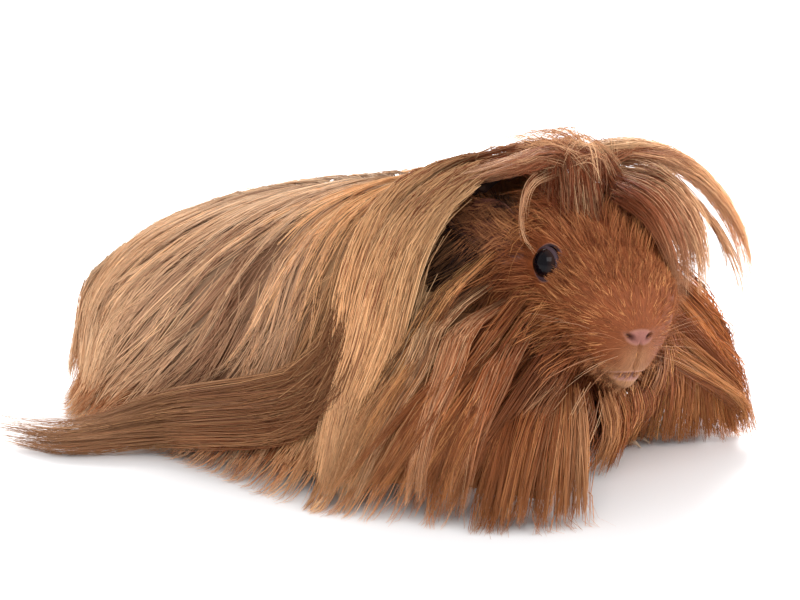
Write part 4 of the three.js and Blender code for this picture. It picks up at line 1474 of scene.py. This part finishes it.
jowls = {side: jowl(side) for side in SIDES}
centres = np.empty(len(skin.data.polygons) * 3, np.float32)
skin.data.polygons.foreach_get("center", centres)
facing, sizes = np.empty_like(centres), np.empty(len(skin.data.polygons), np.float32)
skin.data.polygons.foreach_get("normal", facing)
skin.data.polygons.foreach_get("area", sizes)
centres, facing = centres.reshape(-1, 3).astype(float) * 1000 - ORIGIN, facing.reshape(-1, 3).astype(float)


def from_the_skin(test, density, length, way, half=0.14, members=10, **how):
    """Free hair from the skin itself: density is the number of strands for each square centimetre."""
    chosen = np.flatnonzero(test(centres))
    share = sizes[chosen].astype(float) * 1e4 * density
    number = (share + random.random(len(share))).astype(int)
    pick = np.repeat(chosen, number)
    roots = centres[pick] + random.normal(0, 0.4, (len(pick), 3))
    lengths = length * random.uniform(0.7, 1.25, len(pick))
    lean = way(roots) if callable(way) else np.asarray(way)
    ways = lean + facing[pick] * 0.55 + random.normal(0, 0.12, roots.shape)
    return gather(grow(roots, ways, lengths, half, random.normal(0, 0.4, len(pick)), **how), members)


def nearest_ear(local):
    return np.minimum(*(ear_distance(local, side) for side in SIDES))


def neck_side(p):
    local = to_head(p)
    bare = ((out_of_head(p, 0.2) - p) ** 2).sum(1) < 0.5
    near = (p[:, 0] > -84) & (p[:, 0] < 0) & (p[:, 2] > 12) & (local[:, 0] < 0) & bare
    return near & (nearest_ear(local) >= 9) & (eye_distance(local) > 12) & in_hollow(p, 9)


def behind_ear(p):
    return ((((p - (-62, -24, 75)) / (18, 20, 19)) ** 2).sum(1) < 1) & (p[:, 1] < -4)


neck_hair = from_the_skin(neck_side, 42, 17, (-0.75, 0, -0.55), droop=0.04)
# hair in the hollow behind the right ear; its near-black colour is painted shade
shadow_hair = from_the_skin(behind_ear, 60, 12, (-0.6, -0.15, -0.6), half=0.12, members=8, count=5,
    avoid_curtain=False)


def clear_of_head(p):
    """True for points that don't lie inside the head."""
    return ((out_of_head(p, -0.1) - p) ** 2).sum(1) < 1e-6


def over_head(p):
    local = to_head(p)
    forward, aside, up = local.T
    near = (forward > -16) & (forward < 20) & (up > -26) & (np.abs(aside) < 27)
    return near & clear_of_head(p) & (eye_distance(local) > 6.6)


def over_muzzle(p):
    local = to_head(p)
    near = (local[:, 0] >= 20) & (local[:, 2] > -31)
    return near & clear_of_head(p) & ~on_bare_skin(local)


def away_from_nose(p):
    local = to_head(p)
    sag = smooth(18, -22, local[:, 0]) * smooth(16, -12, local[:, 2])
    return (unit(local - NOSE_AT) + sag[:, None] * np.array([0, 0, -0.7])) @ TURN.T


cheek_hair = from_the_skin(over_head, 62, 8, away_from_nose, half=0.12, members=5, count=5,
    avoid_curtain=False)
lip_hair = from_the_skin(over_muzzle, 120, 3.8, away_from_nose, half=0.085, members=4, count=4, droop=0.02,
    curl=0.12, avoid_curtain=False)
free_hair = (*jowls.values(), neck_hair, shadow_hair, cheek_hair, lip_hair)
print("cheeks, lips and neck have", sum(len(group.paths) for group in free_hair), "strands")

# %% [markdown]
# Some locks go their own way, so each is drawn as a path with its half width and half thickness.
# A lock isn't one smooth rope: its strands gather in wisps, and the wisps part towards the tip. Where a
# lock lies on the coat, its path is written as places on the curtain, x and share and height over it.
# %% A lock drawn as a path
def smooth_path(points, t):
    points = np.array(points, float)
    knots = np.concatenate([[0], np.cumsum(np.linalg.norm(np.diff(points, axis=0), axis=1))])
    return np.stack([profile(*zip(knots / knots[-1], points[:, i]))(t) for i in range(3)], -1)


def on_coat(side, *places):
    """Points over the curtain, from x, share and height."""
    x, s, lift = np.array(places, float).T
    share = (x - COAT_REAR) / (COAT_FRONT - COAT_REAR)
    place = np.stack([share * (STATIONS - 1), s * (LEVELS - 1)], -1)
    return curtains[side].points(place, lift).tolist()


def lock(path, wide, thick, side, number, half=0.16, count=10, wisps=6, part=3.0, frizz=0.5, start=0.2,
         end=0.3, tone=0.0):
    """side is the direction in which the bundle is wide; part is how far its wisps drift apart, in mm."""
    fine = np.linspace(0, 1, 80)
    line = smooth_path(path, fine)
    along = unit(np.gradient(line, axis=0))
    across = unit(np.array(side, float) - (along @ np.array(side, float))[:, None] * along)
    out = np.cross(along, across)
    wisp = random.integers(0, wisps, number)
    turn, share = random.random(wisps) * 2 * np.pi, np.sqrt(random.random(wisps)) * 0.75
    centre = np.stack([share * np.cos(turn), share * np.sin(turn)], -1)[wisp]
    turn, share = random.random(number) * 2 * np.pi, np.sqrt(random.random(number))
    own = np.stack([share * np.cos(turn), share * np.sin(turn)], -1)
    first = random.random(number) * start
    last = 1 - end * (0.6 * random.random(wisps)[wisp] + 0.4 * random.random(number))
    t = first[:, None] + (last - first)[:, None] * np.linspace(0, 1, count)
    gathered = smooth(0.1, 0.9, t)[..., None]
    place = own[:, None] * (1 - 0.72 * gathered) + centre[:, None] * gathered
    place = place + random.normal(0, 0.12, (number, 1, 2)) * gathered
    drift = random.normal(0, 1, (wisps, 2))[wisp][:, None] * part * (t**2)[..., None]
    at = t * (len(fine) - 1)
    i = np.minimum(at.astype(int), len(fine) - 2)
    f = (at - i)[..., None]

    def read(values):
        return values[i] * (1 - f) + values[i + 1] * f

    breadth, depth = profile(*wide)(t), profile(*thick)(t)
    wave = np.sin(t * random.uniform(3, 8, number)[:, None] + random.random(number)[:, None] * WHOLE_TURN)
    wave = wave * (frizz * t * random.random(number)[:, None])
    paths = read(line) + read(across) * (place[..., 0] * breadth + drift[..., 0] + wave)[..., None]
    paths = paths + read(out) * (place[..., 1] * depth + 0.4 * drift[..., 1] + 0.5 * wave)[..., None]
    paths[..., 2] = np.maximum(paths[..., 2], half + 0.2)
    tones = np.clip(tone + random.normal(0, 0.35, wisps)[wisp] + random.normal(0, 0.3, number), -1.6, 1.6)
    return Strands(paths, taper(count, half) * random.uniform(0.75, 1.2, number)[:, None], tones)


def between(first, second, share, jitter=0.0):
    """A path that lies between two others of as many points."""
    path = np.array(first, float) * (1 - share) + np.array(second, float) * share
    return path + random.normal(0, jitter, 3) * np.linspace(0.3, 1, len(path))[:, None]


print("lock tools ready")

# %% [markdown]
# The forelock arches over the left cheek in three parts: the long outer arc, thin wisps inside it, and a
# dense fall of hair that covers the left eye. A thin lock droops over the right ear. The crown's hair rises
# from the brow, parts at the top and falls back over the mane on the right side and into the forelock on
# the left.
# %% Forelock and crown
FORELOCK = [(-38, 6, 98), (-28, 16, 102.5), (-17, 29, 100.5), (-8, 41, 92), (-1, 51, 78), (3, 56, 64),
            (4, 58, 48)]
FORELOCK_INNER = [(-34, 16, 92), (-24, 25, 91), (-15, 33, 83), (-9, 39, 70), (-6, 42, 56)]
EAR_LOCK = [(-38, -7, 99), (-39, -20, 97), (-38, -28, 90), (-36, -30.5, 82), (-31, -31, 76)]
drawn = {
    "coat_forelock": [
        lock(FORELOCK, [(0, 8), (0.35, 5.5), (0.7, 3.6), (1, 2.5)], [(0, 4), (0.4, 3), (1, 1)],
             (0.5, -0.5, 0.7), 480, wisps=14, end=0.4, start=0.12, frizz=1.2, half=0.12, tone=1.3),
    ],
    "coat_forelock_inner": [
        lock(FORELOCK_INNER, [(0, 4), (0.4, 3), (1, 1.5)], [(0, 2.5), (1, 1)], (0.6, -0.5, 0.6), 120,
             half=0.11, tone=0.7),
    ],
    "coat_ear_lock": [
        lock(EAR_LOCK, [(0, 4), (0.4, 1.6), (1, 1.0)], [(0, 2), (1, 0.5)], (1, 0, 0), 30, wisps=5, part=2.2,
             frizz=1.2, half=0.085, end=0.5, tone=0.9),
    ],
}
for path, number in (
    ([(-18, 14, 100), (-10.4, 13, 100), (-2.6, 21, 90), (3.1, 28.3, 79.4), (7.9, 34.4, 65.3),
      (9.8, 36.8, 53), (8.4, 35, 45)], 60),
    ([(-18, 14, 98), (-10.4, 12, 98), (-0.3, 23.9, 86.5), (4.8, 30.5, 74), (6.4, 32.5, 63.8), (6.1, 32, 57)],
     60),
):
    drawn["coat_forelock_inner"].append(lock(path, [(0, 3), (0.5, 1.2), (1, 0.9)], [(0, 2), (1, 0.6)],
        (0.6, -0.5, 0.6), number, wisps=4, part=2.0, half=0.1, tone=0.8))
near = [from_head(p) for p in ((4, 2, 29), (14, 9, 24.5), (20, 13.5, 17), (21.5, 17.5, 7), (19, 21, -5))]
far = [from_head(p) for p in ((-14, 10, 31), (-4, 24, 31), (4, 33, 20), (8, 36, 6), (8, 36, -8))]
veil = []
for i in range(13):
    share = i / 12
    veil.append(lock(between(near, far, share, 0.8), [(0, 3.5), (0.5, 3), (1, 2)], [(0, 1.6), (1, 0.8)],
        (0.8, 0.2, 0.3), 74, wisps=5, part=2.0, half=0.115, end=0.5, frizz=0.8, tone=-0.3 + 0.9 * share))
crown_locks = []
for i in range(30):
    share = i / 29
    brow = np.array([9 - 23 * random.random(), -16 + 30 * share + random.normal(0, 1.5), 0.0])
    brow[2] = head_top(brow[0]) - FUR - 0.018 * brow[1] ** 2
    peak = [-8 - 11 * random.random(), -12 + 21 * share, 34.5 + 3 * np.sin(np.pi * share)]
    peak = from_head(np.array(peak) + (0, 0, random.normal(0, 0.8)))
    rise = 0.5 * (from_head(brow) + peak) + (2.2, -1.6, 2.6)
    if share < 0.6:
        turn = 1 - share / 0.6
        over = [(-44 - 6 * random.random(), -12 - 6 * turn, 103 - 2 * turn)]
        over += on_coat(-1, (-60 - 7 * turn, 0.12 + 0.06 * turn, 1.0))
    else:
        over = [(-12 + random.normal(0, 2), 24, 101), (-5 + random.normal(0, 2), 36, 92)]
    crown_locks.append(lock([from_head(brow), rise, peak, *over], [(0, 3), (0.4, 4), (1, 3)],
        [(0, 0.4), (0.5, 2), (1, 1)], (0.6, 0.8, 0), 52, part=2.2, frizz=1.2, half=0.105, start=0.3,
        end=0.5, tone=-0.5 + 0.9 * random.random()))
for i in range(12):
    root = from_head((-12 - 8 * random.random(), -2 + 12 * random.random(), 29.5))
    x = -50 - 20 * random.random()
    over = on_coat(1, (x, 0.02 + 0.10 * random.random(), 0.8), (x - 12, 0.16 + 0.12 * random.random(), 0.6))
    crown_locks.append(lock([root, root + (-4, 3, 3.2), *over], [(0, 4), (0.5, 5), (1, 3)],
        [(0, 1), (0.5, 1.6), (1, 0.6)], (0.8, 0.6, 0), 48, part=2.2, frizz=1.0, half=0.11, end=0.4,
        tone=-0.3 + 0.7 * random.random()))
wild = []
for i in range(56):
    root = from_head((-14 + 16 * random.random(), -2 + 14 * random.random(), 30))
    dx, dy = -6 - 42 * random.random(), -20 + 32 * random.random()
    arc = [root + (0.3 * dx, 0.3 * dy, 8 + 6 * random.random()),
           root + (0.75 * dx, 0.75 * dy, 7 + 9 * random.random())]
    wild.append(lock([root, *arc, root + (dx, dy, 1 + 9 * random.random())], [(0, 1), (1, 1.5)],
        [(0, 1), (1, 1.5)], (1, 0.2, 0), 5, wisps=3, part=2.5, half=0.07, frizz=0.8, tone=0.9))
print("crown drawn with", len(crown_locks) + len(veil) + len(wild), "locks")

# %% [markdown]
# The mane falls in broad golden locks over the shoulder. Behind them one long lock is swept back along the
# floor, low over the flank, and its tips lie free behind the rump, where shorter locks close the coat.
# %% Mane locks and the swept lock
MANE_LOCKS = [
    [(-52, 0.02, 0.5), (-66, 0.03, 2.0), (-77, 0.10, 3.0), (-82, 0.22, 3.5), (-84, 0.34, 3.5),
     (-86, 0.47, 3.2), (-87, 0.61, 3.0), (-84, 0.76, 3.0), (-79, 0.92, 2.5), (-76, 0.99, 2)],
    [(-50, 0.06, 0.5), (-61, 0.12, 2.0), (-69, 0.20, 3.0), (-74, 0.32, 3.2), (-77, 0.44, 3.0),
     (-81, 0.57, 3.2), (-84, 0.70, 3.2), (-82, 0.86, 3.0), (-77, 0.98, 2)],
    [(-50, 0.09, 0.5), (-58, 0.18, 1.6), (-65, 0.26, 2.4), (-69, 0.36, 2.6), (-72, 0.47, 2.2),
     (-76, 0.58, 2.0), (-79, 0.72, 2.0), (-78, 0.86, 2.0), (-74, 0.98, 1.5)],
    [(-53, 0.17, 0.5), (-60, 0.25, 1.6), (-65, 0.36, 2.4), (-68, 0.48, 2.4), (-72, 0.58, 2.0),
     (-76, 0.70, 2.2), (-76, 0.84, 2.2), (-72, 0.97, 1.5)],
    [(-51, 0.44, 0.5), (-56, 0.52, 1.2), (-61, 0.61, 1.8), (-66, 0.71, 2.4), (-69, 0.83, 2.4),
     (-68, 0.97, 1.5)],
    [(-40, 0.42, 0.5), (-46, 0.53, 1.2), (-51, 0.66, 1.6), (-53, 0.76, 1.8), (-51, 0.88, 1.8),
     (-47, 0.97, 1.2)],
    [(-28, 0.45, 0.5), (-32, 0.55, 1.2), (-36, 0.66, 1.6), (-38, 0.78, 1.8), (-37, 0.88, 1.8),
     (-34, 0.98, 1.2)],
]
MANE_NUMBERS = [330, 330, 300, 250, 170, 170, 160]
MANE_TONES = [0.1, 0.0, -0.1, 0.2, 0.6, 0.5, 0.3]
HEAD_STARTS = {4: (-16, -23, -2), 5: (-6, -24, -8), 6: (4, -22, -13)}  # these three start on the head
mane_locks = []
for i, (number, tone) in enumerate(zip(MANE_NUMBERS, MANE_TONES)):
    path = on_coat(-1, *MANE_LOCKS[i])
    if i in HEAD_STARTS:
        path[0] = from_head(HEAD_STARTS[i]).tolist()
    mane_locks.append(lock(path, [(0, 3), (0.3, 5.5), (0.7, 5), (1, 3)], [(0, 1.5), (0.4, 2.0), (1, 1.5)],
        (1, 0.3, 0.3), number, wisps=10, part=1.8, count=13, half=0.15, start=0.35, end=0.14, tone=tone))
SWEPT_TOP = [(-84, 0.24, -1.5), (-87, 0.38, 1.0), (-90, 0.50, 3.0), (-95, 0.60, 4.5), (-105, 0.67, 5.5),
             (-120, 0.715, 6.0), (-139, 0.76, 6.0), (-158, 0.82, 6.0), (-176, 0.91, 6.0)]
SWEPT_LOW = [(-84, 0.42, -1.5), (-84, 0.60, 0.5), (-86, 0.75, 3.0), (-90, 0.84, 4.5), (-102, 0.89, 5.5),
             (-120, 0.92, 5.5), (-136, 0.95, 5.0), (-150, 0.97, 4.0), (-162, 0.985, 4.0)]
train = []
for i in range(17):
    share = (i + random.random()) / 17
    places = between(SWEPT_TOP, SWEPT_LOW, share)
    places[:, 0] += random.normal(0, 2.0)
    path = on_coat(-1, *places[:-1])
    rear = -231 + 26 * share * random.random() + 9 * random.random()
    low = 1.5 + 9 * (1 - share) * random.random()
    path += [(-178, -79 - 7 * share - 2 * random.random(), low + 2), (-196, -82 - 5 * share, low + 1)]
    path += [(rear, -80 - 4 * random.random(), low)]
    train.append(lock(path, [(0, 4), (0.5, 3.6), (1, 2.2)], [(0, 1.5), (0.5, 2.0), (1, 1.0)], (0, -0.4, 1),
        88, wisps=5, part=3.6, count=12, frizz=1.6, half=0.13, start=0.45, end=0.45,
        tone=random.normal(-1.7, 0.3)))
drawn["coat_train"] = train
rear = []
for i in range(16):
    t = (i + random.random() - 8) / 8
    path = on_coat(-1 if t < 0 else 1, (-202, 0.02 + 0.22 * abs(t), -1.5), (-214, 0.03 + 0.26 * abs(t), 0.6))
    path += [(-226 + 3 * t**2, 20 * t, 25), (-230 + 6 * t**2, 26 * t, 0.8)]
    rear.append(lock(path, [(0, 4), (0.5, 4.5), (1, 3.5)], [(0, 0.8), (0.5, 2), (1, 1.5)], (0, 1, 0), 46,
        wisps=5, part=2.2, start=0.3, end=0.12, frizz=0.9, tone=random.normal(0, 0.5)))
print("mane, swept lock and rear drawn with", len(mane_locks) + len(train) + len(rear), "locks")

# %% [markdown]
# The ruff falls from the cheeks and the throat to the floor. Each of its locks starts on the head, meets
# the curtain a little way out and below, and from there follows the lie of the curtain. Under the chin the
# bib fills the space between the front legs, and to its left a beard hangs from the jaw.
# %% Ruff and bib
def ruff(side, number, strands, test):
    surface = curtains[side]
    places = scatter(head_grid, 12, 0, 1, (0.05, 0.85))
    roots = head_grid.points(places, np.full(len(places), -0.5))
    local = to_head(roots)
    chosen = random.permutation(np.flatnonzero(test(local)))[:number]
    places, roots = places[chosen], roots[chosen]
    out, lie = head_grid.read(head_grid.normal, places), head_grid.read(head_grid.lie, places)
    made = []
    whole = surface.grid[:, int(LEVELS * 0.42) :]
    for root, o, d in zip(roots, out, lie):
        aim = root + 4 * o + 8 * d + np.array([-4, 4 * side, -22])
        near = ((whole - aim) ** 2).sum(-1)
        i, j = np.unravel_index(near.argmin(), near.shape)
        begin = np.array([[i, j + LEVELS - whole.shape[1]]], float)
        reach, bend = np.array([30 + 45 * random.random()]), random.normal(0, 0.08, 1)
        run = surface.trace(begin, reach, 8, bend, np.zeros((1, 3)))[0]
        stop = np.flatnonzero(run[:, 1] > LEVELS - 1)
        run = run[: stop[0] + 1] if len(stop) and stop[0] > 1 else run
        run[:, 1] = np.minimum(run[:, 1], LEVELS - 0.6)
        lifted = surface.points(run, np.full(len(run), 1.2 + random.random()))
        path = [root, root + 3.5 * (0.7 * o + 0.9 * d), *lifted[1:]]
        made.append(lock(path, [(0, 2.2), (0.4, 3.2), (1, 2.4)], [(0, 1), (0.5, 1.6), (1, 1)],
            (0.8, 0.5, 0.2), strands, wisps=4, part=2.2, half=0.14, start=0.25, frizz=0.9,
            tone=random.normal(0, 0.6)))
    return made


def right_cheek(q):
    return (q[:, 1] < -4) & (q[:, 2] < 2 - 0.45 * q[:, 0]) & (q[:, 0] < 24) & (q[:, 2] > -27)


def left_cheek(q):
    return (q[:, 1] > 4) & (q[:, 2] < 2 - 0.35 * q[:, 0]) & (q[:, 0] < 20) & (q[:, 2] > -19)


ruffs = {-1: ruff(-1, 85, 38, right_cheek), 1: ruff(1, 46, 40, left_cheek)}
for i in range(20):
    t = i / 19
    x = 22 - 22 * t
    start = from_head((x + random.normal(0, 1), -13 - 7 * t, head_bottom(x) + 3.5 + 4 * t))
    foot = [1 - 25 * t + random.normal(0, 1.2), -54 - 21 * smooth(0, 0.7, t) + random.normal(0, 1), 0.8]
    mid = 0.5 * (start + np.array(foot)) + (4 - 2 * t, -5 - 2 * t, 3)
    ruffs[-1].append(lock([start, mid, foot], [(0, 2.5), (0.5, 4.0), (1, 2.6)],
        [(0, 0.6), (0.5, 1.8), (1, 1.2)], (0.8, -0.5, 0.2), 60, wisps=5, part=2.2, half=0.14,
        start=0.3, end=0.15, frizz=0.9, tone=random.normal(-0.1, 0.4)))
bib = []
for i in range(24):
    across = random.random()
    root = np.array([-16 + 42 * random.random(), -15 + 30 * across, 0.0])
    root[2] = head_bottom(root[0]) + FUR
    start = from_head(root)
    foot = np.array([-30 + 9 * random.random() + 0.15 * root[0], -34 + 66 * across, 0.6])
    mid = 0.5 * (start + foot) + (5, 0, 2)
    bib.append(lock([start, mid, foot], [(0, 3), (0.5, 4.5), (1, 3)], [(0, 2), (1, 2)], (0.6, 0.8, 0), 60,
        wisps=5, part=2.4, count=7, half=0.15, start=0.15, end=0.14, tone=random.normal(0.1, 0.4)))
beard = []
for i in range(26):
    t = i / 25
    start = from_head(head_surface(0.42 + 0.34 * t, np.radians(-2 - 36 * t), 1.0))
    foot = np.array([4 - 33 * t**1.2 + random.normal(0, 1), 51 - 28 * t, 0.6])
    mid = 0.5 * (start + foot) + (4 - 2 * t, 3 - t, 4)
    beard.append(lock([start, mid, foot], [(0, 3), (0.5, 4.2), (1, 2.6)], [(0, 2), (1, 1.6)],
        (0.8, 0.5, 0.2), 60, wisps=5, part=2.4, count=8, half=0.15, end=0.1, frizz=0.9,
        tone=random.normal(0.1, 0.5)))
print("ruff, bib and beard have", sum(len(locks) for locks in (*ruffs.values(), bib, beard)), "locks")

# %% [markdown]
# Short hair edges and lines the ears, and long whiskers stand out from the muzzle in rows.
# %% Ear hair and whiskers
def on_ears(p):
    local = to_head(p)
    return (nearest_ear(local) < 10) & (np.abs(local[:, 1]) > 19) & (local[:, 0] < 0)


ear_hair = from_the_skin(on_ears, 88, 5.2, (-0.4, 0, 0.1), half=0.1, members=5, count=5, avoid_curtain=False,
    droop=0.02)
whiskers = []
for side in SIDES:
    for row in range(4):
        for i in range(5):
            root = np.array([37 - 3.0 * i - row, side * (5.5 + 1.5 * i), -11 - 2.6 * row])
            way = unit(np.array([0.25 - 0.28 * i, side, 0.30 - 0.25 * row]) + random.normal(0, 0.08, 3))
            reach = 19 + 2.3 * i + random.normal(0, 2)
            base = from_head(root)
            out = way @ TURN.T
            tip = base + out * reach + (0, 0, -0.12 * reach)
            path, thin = [base - out * 2, base + out * reach * 0.5, tip], [(0, 0.1), (1, 0.1)]
            whiskers.append(lock(path, thin, thin, (0, 0, 1), 1, wisps=1, part=0.5, half=0.08, count=7,
                start=0.02, end=0.05))
print("ear hair", len(ear_hair.paths), "whiskers", len(whiskers))

# %% [markdown]
# Every group now goes through the sweeping tree, and each becomes one plain piece that rides on the body
# and stands for its solid.
# %% Sweep the coat
def with_points(strands, count):
    """The same strands with another number of points, so that groups can share one piece."""
    at = np.tile(np.linspace(0, 1, count), (len(strands.paths), 1))
    width = resample(strands.width[..., None], at)[..., 0]
    return Strands(resample(strands.paths, at), width, strands.tone, strands.roots)


face_counts = []


def coat_piece(name, groups, count, material, slot, *nodes):
    strands = Strands.together(*(with_points(group, count) for group in groups))
    piece = finish_piece(sweep_strands(name, strands, material))
    if nodes:
        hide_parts(*nodes)
    face_counts.append(len(strands.paths) * ((count - 1) * 6 + 2))
    print(f"{name}: {len(strands.paths)} strands, {face_counts[-1]} triangles")


SLOTS = {"rump": "coat_sand", "flank": "coat_sand", "mane": "coat_gold", "cheek": "coat_ginger"}
for name, groups in coat_groups.items():
    coat_piece("hair_" + name[5:], groups, 7, LONG_HAIR, SLOTS[name.split("_")[1]], name)
for name, groups in drawn.items():
    count, slot = (8, "coat_ginger") if name == "coat_train" else (9, "coat_gold")
    coat_piece("hair_" + name[5:], groups, count, LONG_HAIR, slot, name)
coat_piece("hair_rear", rear, 6, LONG_HAIR, "coat_sand")
coat_piece("hair_mane_locks", mane_locks, 9, LONG_HAIR, "coat_gold")
for side in SIDES:
    coat_piece("hair_ruff_" + SIDES[side], ruffs[side], 7, CHEEK_HAIR, "coat_ginger")
    coat_piece("hair_jowl_" + SIDES[side], [jowls[side]], 5, CHEEK_HAIR, "coat_ginger")
coat_piece("hair_bib", bib, 5, CHEEK_HAIR, "coat_ginger")
coat_piece("hair_neck", [neck_hair], 5, CHEEK_HAIR, "coat_ginger")
# ear hair and the hair behind the ear, whose near-black colour is painted shade
coat_piece("fur_ears_and_painted_shade", [ear_hair, shadow_hair], 3, EAR_HAIR_AND_PAINTED_SHADE, "ear_skin")
coat_piece("fur_cheeks", [cheek_hair], 3, CHEEK_HAIR, "face_fur")
coat_piece("hair_beard", beard, 6, CHEEK_HAIR, "coat_ginger")
coat_piece("hair_crown", crown_locks + wild, 7, LONG_HAIR, "coat_ginger", "coat_crown")
coat_piece("hair_veil", veil, 7, LONG_HAIR, "coat_ginger")
coat_piece("fur_muzzle", [muzzle_fur, lip_hair], 3, FACE_FUR, "face_fur")
coat_piece("fur_face", [face_fur], 4, FACE_FUR, "face_fur")
coat_piece("fur_nape", [nape_fur], 3, FACE_FUR, "face_fur")
coat_piece("whiskers", whiskers, 7, WHISKER, "face_fur")
print("the coat has", sum(face_counts), "triangles")

# %% [markdown]
# The stage is a white sweep under soft light, as in a pet portrait: one broad light above the camera, one
# behind the animal that shines through the edges of the coat, a weak one ahead of it, and a bright world
# that fills the shadows. The floor and the world stay out of the model.
# %% Floor, lights and world
def soft_light(name, spot, target, size, power):
    lamp = bpy.data.lights.new(name, "AREA")
    lamp.size, lamp.energy = size, power
    made = put_in_scene(name, lamp)
    made.location = spot
    made.rotation_euler = (Vector(target) - Vector(spot)).to_track_quat("-Z", "Y").to_euler()


FLOOR_REACH = 6.0  # metres from the middle to each edge
corners = [(x * FLOOR_REACH, y * FLOOR_REACH, 0) for x, y in ((-1, -1), (1, -1), (1, 1), (-1, 1))]
floor_mesh = bpy.data.meshes.new("floor")
floor_mesh.from_pydata(corners, [], [(0, 1, 2, 3)])
floor = put_in_scene("floor", floor_mesh)
white = bpy.data.materials.new("white sweep")
white.use_nodes = True
board = white.node_tree.nodes["Principled BSDF"]
board.inputs["Base Color"].default_value = (0.93, 0.93, 0.94, 1)
board.inputs["Roughness"].default_value = 0.5
floor.data.materials.append(white)

world = bpy.data.worlds.new("studio")
bpy.context.scene.world = world
world.use_nodes = True
background = world.node_tree.nodes["Background"]
background.inputs["Color"].default_value = (1, 1, 1, 1)
background.inputs["Strength"].default_value = 0.88
soft_light("key", (0.55, -0.85, 0.95), (0.03, 0, 0.05), 0.7, 6)
soft_light("rim", (-0.45, 0.75, 0.75), (0, 0, 0.06), 0.8, 20)
soft_light("side", (0.95, 0.25, 0.45), (0.05, 0, 0.05), 0.6, 5)
print("stage set")

# %% [markdown]
# The camera stands ahead of the animal's right shoulder and a little above it, far enough away that a long
# lens keeps the head and the rump at their true proportions.
# %% Camera
CAMERA_AZIMUTH, CAMERA_HEIGHT = math.radians(32), math.radians(15)
CAMERA_DISTANCE = 900  # millimetres from the point it looks at
LOOKS_AT = np.array([-91.84, -12.84, 50.0])
level = math.cos(CAMERA_HEIGHT)
ahead, aside = math.sin(CAMERA_AZIMUTH) * level, -math.cos(CAMERA_AZIMUTH) * level
back = np.array([ahead, aside, math.sin(CAMERA_HEIGHT)])
lens = bpy.data.cameras.new("camera")
lens.lens, lens.sensor_width, lens.sensor_fit = 121.5, 36, "HORIZONTAL"
lens.clip_start, lens.clip_end = 0.05, 30
camera = put_in_scene("camera", lens)
camera.location = metres(LOOKS_AT + back * CAMERA_DISTANCE)
camera.rotation_euler = Vector(back).to_track_quat("Z", "Y").to_euler()
bpy.context.scene.camera = camera
bpy.context.scene.view_settings.view_transform = "Standard"
print("camera at", [round(c, 3) for c in camera.location])
